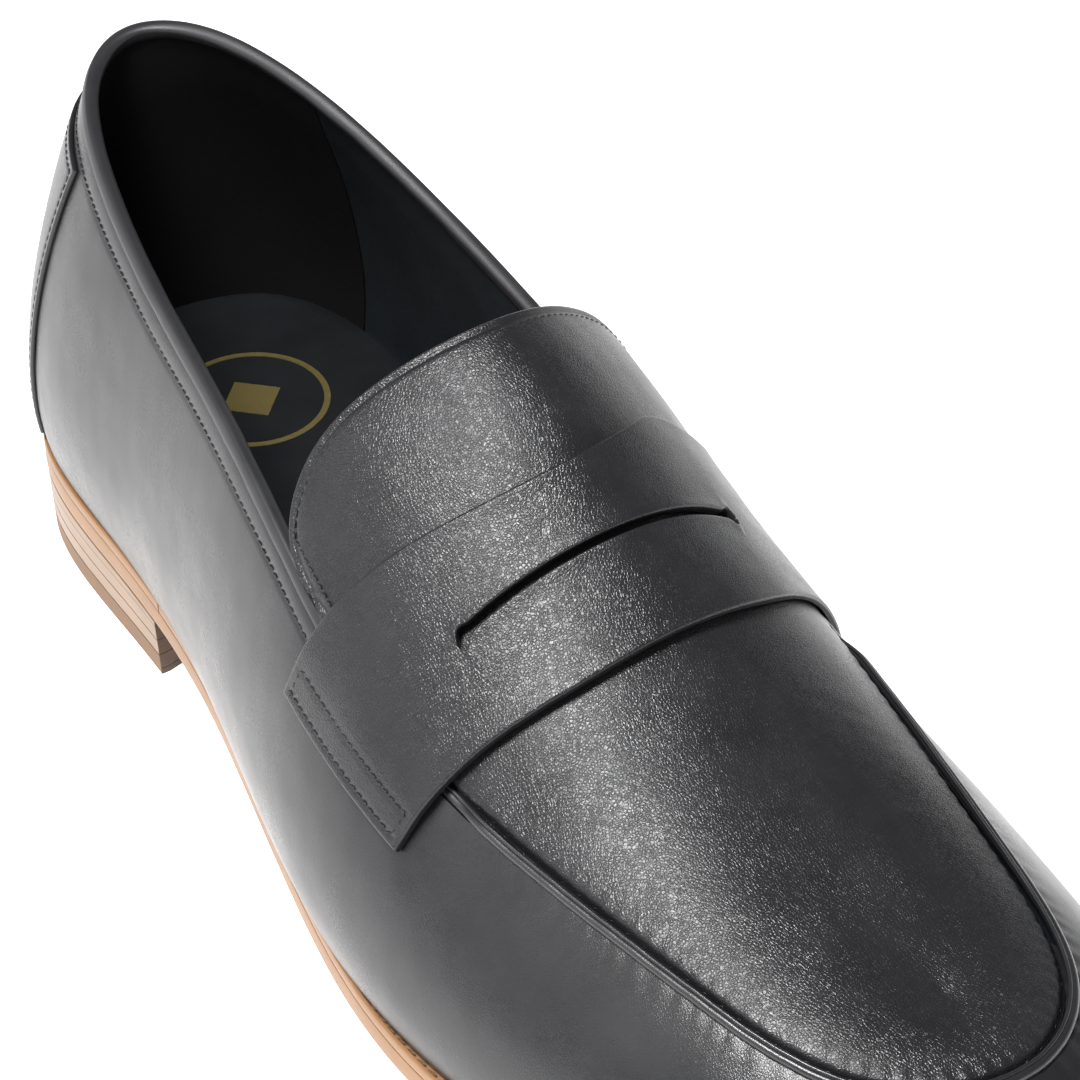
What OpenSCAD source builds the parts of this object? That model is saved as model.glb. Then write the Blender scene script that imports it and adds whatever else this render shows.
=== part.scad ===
// Penny loafer, right foot: a low men's slip-on with a raised moccasin seam,
// a saddle strap with a curved slot, a leather sole and a low stacked heel.
// +X points to the toe, +Y to the inner side of the foot, +Z up; the shoe
// stands on z = 0 and its box is centred on the origin.

/* [Last] */
// Length of the upper from heel to toe
upper_length = 289; // [240:1:350]
// Width of the upper across the ball
upper_width = 102; // [84:1:124]
// Height of the topline at the back of the heel above the sole
back_height = 66; // [54:1:80]
// Rise of the toe off the ground
toe_spring = 7.2; // [4:0.2:12]

/* [Upper leather] */
// Thickness of the outer leather
leather_t = 1.3; // [0.9:0.1:2]
// Thickness of the toe puff and the heel counter
stiffener_t = 0.7; // [0.4:0.1:1.2]
// Thickness of the lining leather
lining_t = 1; // [0.6:0.1:1.4]
// Clearance between two layers
layer_gap = 0.1; // [0.05:0.01:0.3]
// Width of the margin turned in under the foot
margin_w = 13; // [9:0.5:16]
// Clearance between two pieces that meet edge to edge
butt_gap = 0.2; // [0.1:0.05:0.5]

/* [Trim] */
// Radius of the cord along the raised seam
piping_r = 1.1; // [0.6:0.1:1.8]
// How far the cord's middle stands over the leather
piping_rise = 0.25; // [0:0.05:0.8]
// Depth of the topline binding, measured down from the edge
binding_h = 2.2; // [1.5:0.1:4]
// Thickness of the topline binding
binding_t = 0.6; // [0.4:0.1:1]
// Reach of the heel cap from the back seam along each side
heel_cap_l = 41; // [20:1:60]
// Thickness of the heel cap
heel_cap_t = 0.9; // [0.5:0.1:1.5]

/* [Saddle strap] */
// Width of the strap over the instep
strap_w = 30; // [22:1:40]
// Thickness of the strap leather
strap_t = 1.2; // [0.8:0.1:2]
// Thickness of the strap's backing
backing_t = 0.7; // [0.4:0.1:1.2]
// Clearance between the strap and the cord it bridges
strap_clear = 0.15; // [0.1:0.05:1.5]
// Width of the slot
slot_w = 2; // [1:0.1:4]

/* [Tongue] */
// How far the tongue's tip stands up off the last
tongue_rise = 1.2; // [0:0.1:1.3]
// Clearance between the tongue and the edges beside it
tongue_gap = 1.4; // [0.8:0.1:3]

/* [Sole] */
// Thickness of the outsole
outsole_t = 4.5; // [3:0.1:7]
// Thickness of the welt and of the heel rand
welt_t = 2.5; // [1.5:0.1:4]
// How far the sole stands out from the upper at the forepart
forepart_edge = 1.8; // [1:0.1:5]
// How far the sole stands out from the upper at the heel
heel_edge = 0.6; // [0:0.1:2]
// How far the sole's edge tucks in at the waist
waist_tuck = 2.7; // [0:0.1:4]
// Clearance between two layers of the bottom
sole_gap = 0.05; // [0.02:0.01:0.2]
// Thickness of the insole board
insole_t = 2.2; // [1.5:0.1:3.5]
// Thickness of the foam footbed
foam_t = 2; // [1:0.1:4]
// Thickness of the sock liner
sock_t = 1; // [0.6:0.1:1.6]
// Clearance between the bottom pieces and the wall of the lining
sock_gap = 0.8; // [0.4:0.1:1.5]
// Length of the steel shank
shank_l = 105; // [80:1:130]
// Width of the steel shank
shank_w = 14; // [10:1:18]
// Thickness of the steel shank
shank_t = 1.5; // [1:0.1:2]

/* [Heel] */
// Height of the heel under the outsole
heel_height = 14; // [11:0.5:25]
// Length of the heel, from the back of the sole to the breast
heel_l = 71; // [60:1:80]
// Hollow radius of the heel breast
breast_r = 110; // [80:5:200]
// Thickness of the rubber top piece
top_piece_t = 4.5; // [3:0.5:6]
// Thickness of a full leather lift
lift_t = 3.5; // [2.5:0.1:4]
// How much each layer of the heel steps in from the one above
lift_step = 0.3; // [0:0.1:1]
// Radius of the brass heel nails
nail_r = 0.9; // [0.6:0.1:1.5]
// Number of heel nails
nail_n = 7; // [3:2:11]
// Clearance around a heel nail
nail_gap = 0.02; // [0.01:0.01:0.05]

/* [Stitching] */
// Length of a stitch
stitch_l = 2.3; // [1.5:0.1:4]
// Distance from one stitch to the next
stitch_pitch = 3.2; // [2:0.1:5]
// Thickness of the thread
thread_t = 0.6; // [0.3:0.1:1]
// Clearance between thread and leather
thread_gap = 0.05; // [0.02:0.01:0.2]
// Depth of the stitch row below the topline
topline_row = 5.5; // [4:0.5:9]
// Distance of the tongue's stitch row from its edge
tongue_row = 1.8; // [1.2:0.1:4]

/* [Hidden] */

black_leather = [0.13, 0.13, 0.14];
dark_edge = [0.07, 0.07, 0.08];
lining_black = [0.09, 0.1, 0.12];
tan_edge = [0.72, 0.55, 0.38];
heel_brown = [0.5, 0.33, 0.2];

// ---- Control net of the last -------------------------------------------
// Eleven rows from the heel to the toe. The last is symmetric in its row
// numbers: row k serves the outer side at station k and the inner side at 20 - k.
// [feather x, outer y, inner y, shoulder x, outer y, inner y, height,
//  ridge x, y, height, bulge out, bulge up, crown]
LAST = [
  [-144.5, 0, 0, -150, 0, 0, 56.5, -145.5, 0, 89, 3, 16, 0],
  [-139.5, 28.5, 25, -142, 19.5, 22.5, 55, -128.5, 0, 90, 3, 16, 2],
  [-115.5, 37.5, 35, -116.5, 28.5, 31.5, 53, -105, 1, 89, 4, 16, 3],
  [-84.5, 38, 33, -86, 33, 33.5, 51.5, -72, 1.5, 88, 4, 16, 4],
  [-50, 42, 27.5, -52.5, 37.5, 37, 55, -36.5, 1.5, 88, 4, 15, 4],
  [-14, 51, 32.5, -20, 42.5, 38, 55, -3, 1.5, 84, 4, 14, 5],
  [24, 57.5, 42, 13, 42.5, 37.5, 45, 20, 1.5, 69.5, 4, 13, 5],
  [62, 55, 47.5, 51.5, 39, 38, 36.5, 43, 0, 54.5, 3, 12, 4],
  [100, 44.5, 45, 90, 34.5, 34.5, 30, 70.5, 1, 42, 3, 12, 3],
  [131, 28, 34.5, 118, 24, 28.5, 25.5, 95.5, 2, 33.5, 3, 11, 1],
  [148, 0, 8, 130.5, 0, 8, 26, 107, 2, 29.5, 3, 10, 0]];
// Size of the shoe that the control net draws as it stands
net_length = 289;
net_width = 102;
net_back = 66;
// Topline and raised seam: how far up the wall they run at each station
EDGE = [1.75, 1.58, 1.42, 1.24, 1.15, 1.08, 1.02, 1.12, 1.26, 1.16,
  1.2, 1.25, 1.3, 1.18, 0.98, 0.9, 0.94, 1.2, 1.58, 1.78];
// Pitch of the sole along its length: share of the heel height and of the toe spring
PITCH_HEEL = [1, 1, 0.98, 0.92, 0.75, 0.5, 0.23, 0.05, 0, 0, 0, 0, 0];
PITCH_TOE = [0, 0, 0, 0, 0, 0, 0, 0, 0, 0.05, 0.25, 0.57, 1];
pitch_from = -150;
pitch_step = 25;

kx = upper_length / net_length;
ky = upper_width / net_width;
kz = back_height / net_back;
sole_t = outsole_t + welt_t;
ROWS = 20;
eps = 0.001;

function weights(f) = [pow(1 - f, 3), 3 * f * f * f - 6 * f * f + 4,
  -3 * f * f * f + 3 * f * f + 3 * f + 1, f * f * f] / 6;
// Point of a closed cubic curve through its control list
function loop_at(c, t) = let (n = len(c), i = floor(t), w = weights(t - i), k = i % n + n)
  c[(k - 1) % n] * w[0] + c[k % n] * w[1] + c[(k + 1) % n] * w[2] + c[(k + 2) % n] * w[3];
// Value of an open cubic curve that is carried on straight past its ends
function ends(c, k) = k < 0 ? 2 * c[0] - c[1]
  : k >= len(c) ? 2 * c[len(c) - 1] - c[len(c) - 2] : c[k];
function open_at(c, s) = let (q = min(max(s, 0), len(c) - 1), i = min(floor(q), len(c) - 2),
    w = weights(q - i))
  ends(c, i - 1) * w[0] + ends(c, i) * w[1] + ends(c, i + 1) * w[2] + ends(c, i + 2) * w[3];
// Height of the sole's underside over the ground
function sole_z(x) = let (s = (x / kx - pitch_from) / pitch_step)
  open_at(PITCH_HEEL, s) * heel_height + open_at(PITCH_TOE, s) * toe_spring;
function feather_z(x) = sole_z(x) + sole_t;

function row_of(i) = LAST[i <= 10 ? i : ROWS - i];
function side_y(i, outer, inner) = ky * (i % 10 == 0 ? (inner - outer) / 2
  : i < 10 ? -outer : inner);
FEATHER = [for (i = [0:ROWS - 1]) let (r = row_of(i)) [r[0] * kx, side_y(i, r[1], r[2])]];
SHOULDER = [for (i = [0:ROWS - 1]) let (r = row_of(i), x = r[3] * kx)
  [x, side_y(i, r[4], r[5]), feather_z(x) + r[6] * kz]];
RIDGE = [for (i = [0:ROWS - 1]) let (r = row_of(i), x = r[7] * kx)
  [x, r[8] * ky, feather_z(x) + r[9] * kz]];
FORM = [for (i = [0:ROWS - 1]) let (r = row_of(i)) [r[10], r[11] * kz, r[12] * kz]];

function feather(t) = loop_at(FEATHER, t);
// Plan direction that points out of the shoe at a station
function plan_out(t) = let (d = feather(t + eps) - feather(t - eps)) [d[1], -d[0]] / norm(d);
function half_net(t) = let (b = feather(t), n = plan_out(t), f = loop_at(FORM, t),
    z = feather_z(b[0]), s = loop_at(SHOULDER, t), r = loop_at(RIDGE, t))
  [[b[0], b[1], z], [b[0] + n[0] * f[0], b[1] + n[1] * f[0], z + f[1]], s,
   (s + r) / 2 + [0, 0, f[2]], r];
function net(t) = let (a = half_net(t), b = half_net(ROWS - t))
  [a[0], a[1], a[2], a[3], a[4], b[3], b[2], b[1], b[0]];
KNOTS = [0, 0, 0, 0, 1, 2, 3, 4, 5, 6, 6, 6, 6];
function mix_at(u, i, span, a, b) = let (f = (u - KNOTS[i]) / (KNOTS[i + span] - KNOTS[i]))
  a * (1 - f) + b * f;
// Point at height u of a cross section: 0 outer feather, 3 ridge, 6 inner feather
function across(c, u) = let (k = min(floor(u), 5) + 3,
    p = [for (j = [1:3]) mix_at(u, k - 3 + j, 3, c[k - 4 + j], c[k - 3 + j])],
    q = [for (j = [1:2]) mix_at(u, k - 2 + j, 2, p[j - 1], p[j])])
  mix_at(u, k, 1, q[0], q[1]);
// A section holds the net at a station and just before and after it
function section(t) = [net(t - eps), net(t), net(t + eps)];
function up_vec(s, u) = across(s[1], min(u + eps, 6)) - across(s[1], max(u - eps, 0));
function unit(v) = v / norm(v);
// Outward direction; on the ridge at the toe, where the net folds, it is read just beside
function out_vec(s, u) = let (n = cross(across(s[2], u) - across(s[0], u), up_vec(s, u)))
  norm(n) > 1e-8 ? unit(n) : out_vec(s, u - 0.02);
function on_last(s, u, h) = across(s[1], u) + out_vec(s, u) * h;
// What a length in mm is in u at a place on a section
function in_u(s, u, mm) = mm * 2 * eps / norm(up_vec(s, u));
function edge_u(t) = loop_at(EDGE, t);

// ---- Centre of the shoe's box ------------------------------------------
wall_gap = layer_gap;
heel_x = -144 * kx + heel_l;
function smooth(x) = let (q = min(max(x, 0), 1)) q * q * (3 - 2 * q);
// How far the sole stands out from the feather line along the shoe
waist_x = -15;
waist_l = 48;
function sole_out(x) = heel_edge + (forepart_edge - heel_edge) * smooth((x - heel_x) / 60)
  - waist_tuck * exp(-pow((x / kx - waist_x) / waist_l, 2));
RIM = [for (i = [0:79]) let (t = i / 4, s = section(t), e = sole_out(feather(t)[0]))
  each [plan_at(t, -e), for (q = [0.3, 0.6, 0.9]) let (p = across(s[1], q)) [p[0], p[1]]]];
heel_back = on_last(section(0), 1, heel_cap_t + wall_gap)[0];
x_lo = min(heel_back, min([for (p = RIM) p[0]]));
x_mid = (x_lo + max([for (p = RIM) p[0]])) / 2;
y_mid = (min([for (p = RIM) p[1]]) + max([for (p = RIM) p[1]])) / 2;
module placed() translate([-x_mid, -y_mid, 0]) children();

// ---- Solid from two grids of points ------------------------------------
// outer[i][j] and inner[i][j] are the two faces; i runs along the shoe and j up
// or across it. fold closes the last row on itself; hole is [first row, last row,
// first column, last column] of cells that are left out.
module sheet(outer, inner, fold = false, hole = [1, 0, 1, 0]) {
  n = len(outer);
  m = len(outer[0]);
  half = n * m;
  function id(i, j) = i * m + (fold && i == n - 1 && 2 * j > m - 1 ? m - 1 - j : j);
  function cut(i, j) = i >= hole[0] && i <= hole[1] && j >= hole[2] && j <= hole[3];
  function on(i, j) = i >= 0 && j >= 0 && i < n - 1 && j < m - 1 && !cut(i, j);
  function quad(a, b, c, d) = [[a, b, c], [a, c, d]];
  function wall(a, b) = quad(a, b, b + half, a + half);
  polyhedron(points = concat([for (r = outer) each r], [for (r = inner) each r]),
    faces = [for (i = [0:n - 2], j = [0:m - 2]) if (on(i, j))
      let (a = id(i, j), b = id(i, j + 1), c = id(i + 1, j + 1), d = id(i + 1, j))
      each concat(quad(a, b, c, d), quad(a + half, d + half, c + half, b + half),
        on(i, j - 1) ? [] : wall(a, d),
        on(i - 1, j) ? [] : wall(b, a),
        on(i, j + 1) ? [] : wall(c, b),
        on(i + 1, j) || (fold && i == n - 2) ? [] : wall(d, c))]);
}
// Solid from rings of points that run clockwise seen from the start
module tube(rings) {
  n = len(rings);
  m = len(rings[0]);
  polyhedron(points = [for (r = rings) each r],
    faces = concat([[for (j = [0:m - 1]) j]], [[for (j = [m - 1:-1:0]) (n - 1) * m + j]],
      [for (i = [0:n - 2], j = [0:m - 1]) let (k = (j + 1) % m)
        each [[i * m + j, (i + 1) * m + j, (i + 1) * m + k],
              [i * m + j, (i + 1) * m + k, i * m + k]]]));
}
function steps(a, b, n) = [for (i = [0:n]) a + (b - a) * i / n];

// ---- Layers of the upper ------------------------------------------------
stiffener_out = -leather_t - layer_gap;
stiffener_in = stiffener_out - stiffener_t;
lining_out = stiffener_in - layer_gap;
lining_in = lining_out - lining_t;
lining_base = leather_t + layer_gap;
insole_base = lining_base + lining_t + layer_gap;
station = 1 / 3;
back_slit = 0.004;
// Stations where the topline hands over to the raised seam, under the strap
seam_from = 6;
seam_to = ROWS - seam_from;
// Station where the tongue and the rear lining pieces meet the front ones
throat = 19 / 3;
throat_gap = 0.01;
// Shares of the wall's height at which its rows lie
WALL = [0.06, 0.2, 0.4, 0.6, 0.8, 1];
edge_clear = 0.4;
seam_set = piping_r + 0.1;
function set_back(t) = t > seam_from - 0.1 && t < seam_to + 0.1 ? seam_set : edge_clear;
function wall_top(t, s) = let (e = edge_u(t)) e - in_u(s, e, set_back((t + ROWS) % ROWS));
// Stations from a to b: every layer uses the same ones between its own ends
function spread(a, b) = let (i = floor(a / station + 0.1) + 1, j = ceil(b / station - 0.1) - 1)
  concat([a], [for (k = [i:1:j]) k * station], [b]);

// Point of the margin under the foot, a distance in from the feather line
function under(t, inset, z) = let (p = plan_at(t, inset)) [p[0], p[1], feather_z(p[0]) + z];
function plan_at(t, inset) = feather(t) - plan_out(t) * inset;
// A layer's path at a station: in from the margin, round the feather and up the wall
function foot_path(t, h, z) = [under(t, margin_w, z), under(t, margin_w / 2, z),
  under(t, -h, z)];
function wall_path(t, s, top, h) = [for (q = WALL) on_last(s, top * q, h)];
module wall_layer(ts, out, in, z) {
  secs = [for (t = ts) section(t)];
  tops = [for (i = [0:len(ts) - 1]) wall_top(ts[i], secs[i])];
  sheet([for (i = [0:len(ts) - 1]) concat(foot_path(ts[i], out, z),
      wall_path(ts[i], secs[i], tops[i], out))],
    [for (i = [0:len(ts) - 1]) concat(foot_path(ts[i], in, z + out - in),
      wall_path(ts[i], secs[i], tops[i], in))]);
}

module skirt() color(black_leather) placed()
  wall_layer(spread(back_slit, ROWS - back_slit), 0, -leather_t, 0);

// Rows across the forepart from one seam to the other
across_n = 14;
function apron_rows(t, s) = let (a = edge_u(t), b = edge_u(ROWS - t))
  steps(a + in_u(s, a, seam_set), 6 - b - in_u(s, 6 - b, seam_set), across_n);
function apron_row(t, h) = let (s = section(t)) [for (u = apron_rows(t, s)) on_last(s, u, h)];
module apron() color(black_leather) placed() {
  ts = spread(throat + throat_gap, 10);
  sheet([for (t = ts) apron_row(t, 0)], [for (t = ts) apron_row(t, -leather_t)], fold = true);
}

// Outline of the tongue: a rounded tip that runs into two straight sides
tongue_tip = 4.63;
tongue_side = 5.3;
tongue_round = 4;
tongue_n = 16;
tongue_rows = 6;
function tongue_from(w) = tongue_side - (tongue_side - tongue_tip)
  * pow(max(1 - pow(abs(2 * w - 1), tongue_round), 0), 1 / tongue_round);
function tongue_point(w, f, h, inset) = let (a = tongue_from(w),
    t = a + (throat - throat_gap - a) * f, s = section(t), lo = edge_u(t),
    hi = 6 - edge_u(ROWS - t), gl = in_u(s, lo, tongue_gap + inset),
    gh = in_u(s, hi, tongue_gap + inset))
  on_last(s, lo + gl + (hi - gh - lo - gl) * w, h + tongue_rise * (1 - f));
function tongue_grid(h) = [for (f = steps(0, 1, tongue_rows))
  [for (j = [0:tongue_n]) tongue_point((1 - cos(180 * j / tongue_n)) / 2, f, h, 0)]];
module tongue() color(black_leather) placed()
  sheet(tongue_grid(0), tongue_grid(-leather_t));
module tongue_lining() color(lining_black) placed()
  sheet(tongue_grid(-leather_t - layer_gap), tongue_grid(-leather_t - layer_gap - lining_t));

// ---- Saddle strap --------------------------------------------------------
// Rear and front lines of the strap and the middle line of its slot are
// parabolas in the station over the height across: [at the ridge, slope, bend]
STRAP_REAR = [5.56, -0.085, -0.088];
STRAP_FRONT = [6.7, -0.02, -0.088];
SLOT_LINE = [6.05, 0.006, 0.005];
net_strap_w = 30;
strap_lo = 0.75;
strap_hi = 5.6;
slot_lo = 1.6;
slot_hi = 4.18;
rise_u = 0.26;
station_mm = 25;
function line_t(l, u) = l[0] + l[1] * (u - 3) + l[2] * (u - 3) * (u - 3);
// The rear edge runs forward on the inner side, so that both ends are as wide
inner_narrowing = 0.28;
function net_rear(u) = line_t(STRAP_REAR, u) + inner_narrowing * smooth(u - 3.7);
function strap_side(u, side) = let (m = (net_rear(u) + line_t(STRAP_FRONT, u)) / 2)
  m + (side - m) * strap_w / net_strap_w;
function strap_rear(u) = strap_side(u, net_rear(u));
function strap_front(u) = strap_side(u, line_t(STRAP_FRONT, u));
strap_rise = piping_rise + piping_r + strap_clear;
function strap_gap(u) = layer_gap + (strap_rise - layer_gap)
  * smooth((u - strap_lo) / rise_u) * smooth((strap_hi - u) / rise_u);
function strap_column(u, h) = let (c = line_t(SLOT_LINE, u), a = strap_rear(u),
    b = strap_front(u), w = slot_w / 2 / station_mm
      * (0.35 + 0.65 * smooth((u - slot_lo) / 0.12) * smooth((slot_hi - u) / 0.12)))
  [for (t = [a, (a + c - w) / 2, c - w, c + w, (b + c + w) / 2, b])
    on_last(section(t), u, h + strap_gap(u))];
STRAP_U = concat(steps(strap_lo, strap_lo + rise_u, 4), [for (k = [1:3]) strap_lo + rise_u
    + (slot_lo - strap_lo - rise_u) * k / 3], [for (k = [1:15]) slot_lo + (slot_hi - slot_lo) * k / 15],
  [for (k = [1:6]) slot_hi + (strap_hi - rise_u - slot_hi) * k / 6],
  [for (k = [1:4]) strap_hi - rise_u * (1 - k / 4)]);
SLOT_COLUMNS = [7, 21];
function turned(g) = [for (i = [0:len(g[0]) - 1]) [for (c = g) c[i]]];
module strap_layer(out, in)
  sheet(turned([for (u = STRAP_U) strap_column(u, out)]),
    turned([for (u = STRAP_U) strap_column(u, in)]),
    hole = [2, 2, SLOT_COLUMNS[0], SLOT_COLUMNS[1]]);
module saddle_strap() color(black_leather) placed()
  strap_layer(backing_t + layer_gap + strap_t, backing_t + layer_gap);
module strap_backing() color(dark_edge) placed() strap_layer(backing_t, 0);

// ---- Trim of the upper ---------------------------------------------------
// The cap's rows are the skirt's, and its top edge lies below the topline's stitches
cap_half = heel_cap_l / station_mm;
cap_top_gap = 1;
function cap_row(t, h) = let (s = section(t), e = edge_u(t), top = wall_top(t, s), n = len(WALL),
    a = on_last(s, top * WALL[n - 2], h), b = on_last(s, top, h),
    f = (e - in_u(s, e, topline_row + cap_top_gap) - top * WALL[n - 2]) / (top - top * WALL[n - 2]))
  concat([for (k = [0:n - 2]) on_last(s, top * WALL[k], h)], [a * (1 - f) + b * f]);
module heel_cap() color(dark_edge) placed() {
  ts = spread(-cap_half, cap_half);
  sheet([for (t = ts) cap_row(t, wall_gap + heel_cap_t)], [for (t = ts) cap_row(t, wall_gap)]);
}

// Place on the topline or seam: the edge point and its outward and upward directions
function edge_place(t) = let (s = section(t), u = edge_u(t))
  [across(s[1], u), out_vec(s, u), unit(up_vec(s, u))];
function at_edge(p, out, up) = p[0] + p[1] * out + p[2] * up;
module apron_piping() color(black_leather) placed()
  tube([for (t = spread(seam_from + 0.03, seam_to - 0.03)) let (p = edge_place(t))
    [for (k = [0:7]) at_edge(p, piping_rise + piping_r * cos(45 * k), -piping_r * sin(45 * k))]]);

bind_gap = 0.12;
// Place on the topline, square to the uppermost strip of the wall
function rim_place(t) = let (s = section(t), u = edge_u(t), a = across(s[1], u),
    up = unit(a - across(s[1], wall_top(t, s) * WALL[len(WALL) - 2])))
  [a, unit(cross(across(s[2], u) - across(s[0], u), up)), up];
module topline_binding() color(dark_edge) placed() {
  ts = spread(-seam_from + 0.03, seam_from - 0.03);
  o = bind_gap + binding_t;
  i = lining_in - bind_gap;
  outer = [[o, -binding_h], [o, 0.1], [-0.2, bind_gap + binding_t], [lining_in + 0.2, bind_gap + binding_t],
    [i - binding_t, 0.1], [i - binding_t, -binding_h]];
  inner = [[bind_gap, -binding_h], [bind_gap, 0], [-0.1, bind_gap], [lining_in + 0.1, bind_gap],
    [i, 0], [i, -binding_h]];
  ps = [for (t = ts) rim_place(t)];
  sheet([for (p = ps) [for (q = outer) at_edge(p, q[0], q[1])]],
    [for (p = ps) [for (q = inner) at_edge(p, q[0], q[1])]]);
}

// ---- Linings and stiffeners ----------------------------------------------
function reversed(l) = [for (i = [len(l) - 1:-1:0]) l[i]];
// A hood's path over the forepart: up one wall, across under the apron, down the other
function hood_path(t, h) = let (s = section(t), a = wall_top(t, s), b = wall_top(ROWS - t, s))
  [for (u = concat([for (q = WALL) a * q], apron_rows(t, s), [for (q = reversed(WALL)) 6 - b * q]))
    on_last(s, u, h)];
function lining_hood(t, h, z) = concat(foot_path(t, h, z), hood_path(t, h),
  reversed(foot_path(ROWS - t, h, z)));
module vamp_lining() color(lining_black) placed() {
  ts = spread(throat + throat_gap, 10);
  sheet([for (t = ts) lining_hood(t, lining_out, lining_base)],
    [for (t = ts) lining_hood(t, lining_in, lining_base + lining_t)], fold = true);
}
pocket = 2;
module quarter_lining_outer() color(lining_black) placed()
  wall_layer(spread(pocket + throat_gap, throat - throat_gap), lining_out, lining_in, lining_base);
module quarter_lining_inner() color(lining_black) placed()
  wall_layer(spread(ROWS - throat + throat_gap, ROWS - pocket - throat_gap), lining_out, lining_in,
    lining_base);
module heel_pocket_lining() color(dark_edge) placed()
  wall_layer(spread(-pocket + throat_gap, pocket - throat_gap), lining_out, lining_in, lining_base);

puff_from = 26 / 3;
module toe_puff() color("dimgray") placed() {
  ts = spread(puff_from, 10);
  sheet([for (t = ts) hood_path(t, stiffener_out)],
    [for (t = ts) hood_path(t, stiffener_in)], fold = true);
}
counter_reach = 3;
counter_rows = 5;
function counter_path(t, h) = let (s = section(t), top = wall_top(t, s))
  [for (k = [0:counter_rows - 1]) on_last(s, top * WALL[k], h)];
module heel_counter() color("dimgray") placed() {
  ts = spread(-counter_reach, counter_reach);
  sheet([for (t = ts) counter_path(t, stiffener_out)], [for (t = ts) counter_path(t, stiffener_in)]);
}

// ---- Bottom ---------------------------------------------------------------
plan_n = 96;
plan_reach = 400;
function outline(inset) = [for (i = [0:plan_n - 1]) plan_at(i * ROWS / plan_n, inset)];
SOLE_PLAN = [for (i = [0:plan_n - 1]) let (t = i * ROWS / plan_n) plan_at(t, -sole_out(feather(t)[0]))];
PROFILE_X = steps(-160 * kx, 160 * kx, 40);
// Slab that follows the sole's pitch between two heights over its underside
module slab(lo, hi) rotate([90, 0, 0]) translate([0, 0, -plan_reach / 2])
  linear_extrude(plan_reach) polygon(concat([for (x = PROFILE_X) [x, sole_z(x) + lo]],
    [for (x = reversed(PROFILE_X)) [x, sole_z(x) + hi]]));
module bottom_piece(lo, hi) intersection() {
  slab(lo, hi);
  linear_extrude(plan_reach) children();
}
module behind(x) translate([x - plan_reach, -plan_reach / 2]) square(plan_reach);
module ahead(x) translate([x, -plan_reach / 2]) square(plan_reach);
module ring_plan() difference() {
  polygon(SOLE_PLAN);
  polygon(outline(margin_w));
}
rand_join = heel_x + 3;
rand_lo = outsole_t + sole_gap;
rand_hi = sole_t - sole_gap;
module welt() color(tan_edge) placed() bottom_piece(rand_lo, rand_hi)
  intersection() { ring_plan(); ahead(rand_join + butt_gap / 2); }
module heel_rand() color(tan_edge) placed() bottom_piece(rand_lo, rand_hi)
  intersection() { ring_plan(); behind(rand_join - butt_gap / 2); }
module outsole() color(tan_edge) placed() bottom_piece(0, outsole_t) polygon(SOLE_PLAN);

filler_inset = margin_w + 2 * butt_gap;
filler_hi = sole_t + insole_base - sole_gap;
shank_lo = sole_t - shank_t / 2;
shank_x = heel_x - shank_l * 0.25;
module shank_plan(grow) translate([shank_x - grow, -shank_w / 2 - grow])
  square([shank_l + 2 * grow, shank_w + 2 * grow]);
module cork_filler() color("tan") placed() difference() {
  bottom_piece(rand_lo, filler_hi) polygon(outline(filler_inset));
  bottom_piece(shank_lo - sole_gap, filler_hi + 1) shank_plan(layer_gap);
}
module shank() color("silver") placed() bottom_piece(shank_lo, shank_lo + shank_t) shank_plan(0);

bed_inset = -lining_in + sock_gap * kx;
insole_lo = sole_t + insole_base;
foam_lo = insole_lo + insole_t + sole_gap;
sock_lo = foam_lo + foam_t + sole_gap;
module insole_board() color("peru") placed()
  bottom_piece(insole_lo, insole_lo + insole_t) polygon(outline(bed_inset));
module foam_footbed() color("dimgray") placed()
  bottom_piece(foam_lo, foam_lo + foam_t) polygon(outline(bed_inset));
module sock_liner() color(lining_black) placed()
  bottom_piece(sock_lo, sock_lo + sock_t) polygon(outline(bed_inset));
// A plain ring with a lozenge in it
foil_t = 0.1;
mark_x = -104;
mark_r = 15;
mark_line = 1.2;
module mark_ring(r) translate([mark_x * kx, 0]) circle(r, $fn = 64);
module foil_mark() color("gold") placed()
  bottom_piece(sock_lo + sock_t + sole_gap, sock_lo + sock_t + sole_gap + foil_t) {
    difference() { mark_ring(mark_r); mark_ring(mark_r - mark_line); }
    translate([mark_x * kx, 0]) rotate(45) square(mark_r * 0.6, center = true);
  }

// ---- Heel ------------------------------------------------------------------
module heel_plan(inset) difference() {
  intersection() {
    offset(delta = -inset) polygon(SOLE_PLAN);
    behind(heel_x);
  }
  translate([heel_x + breast_r - breast_sag, 0]) circle(breast_r, $fn = 180);
}
breast_sag = 5;
lower_z = top_piece_t + sole_gap;
upper_z = lower_z + lift_t + sole_gap;
nail_top = upper_z + 1.5;
nail_floor = 0.3;
module nail_places() for (k = [0:nail_n - 1])
  let (p = plan_at((k - (nail_n - 1) / 2) * 5.2 / (nail_n - 1), 9)) translate(p) children();
module nail_holes() translate([0, 0, -1]) nail_places()
  cylinder(r = nail_r + nail_gap, h = nail_top + 1 + nail_gap, $fn = 24);
module heel_layer(z, h, inset) difference() {
  translate([0, 0, z]) linear_extrude(h) heel_plan(inset);
  nail_holes();
}
module heel_top_piece() color("peru") placed() heel_layer(0, top_piece_t, 2 * lift_step);
module heel_lift_lower() color(heel_brown) placed() heel_layer(lower_z, lift_t, lift_step);
module heel_lift_upper() color(heel_brown) placed() intersection() {
  heel_layer(upper_z, heel_height + 10, 0);
  slab(-heel_height - 10, -sole_gap);
}
module heel_nails() color("gold") placed() nail_places()
  translate([0, 0, nail_floor]) cylinder(r = nail_r, h = nail_top - nail_floor, $fn = 24);

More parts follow.
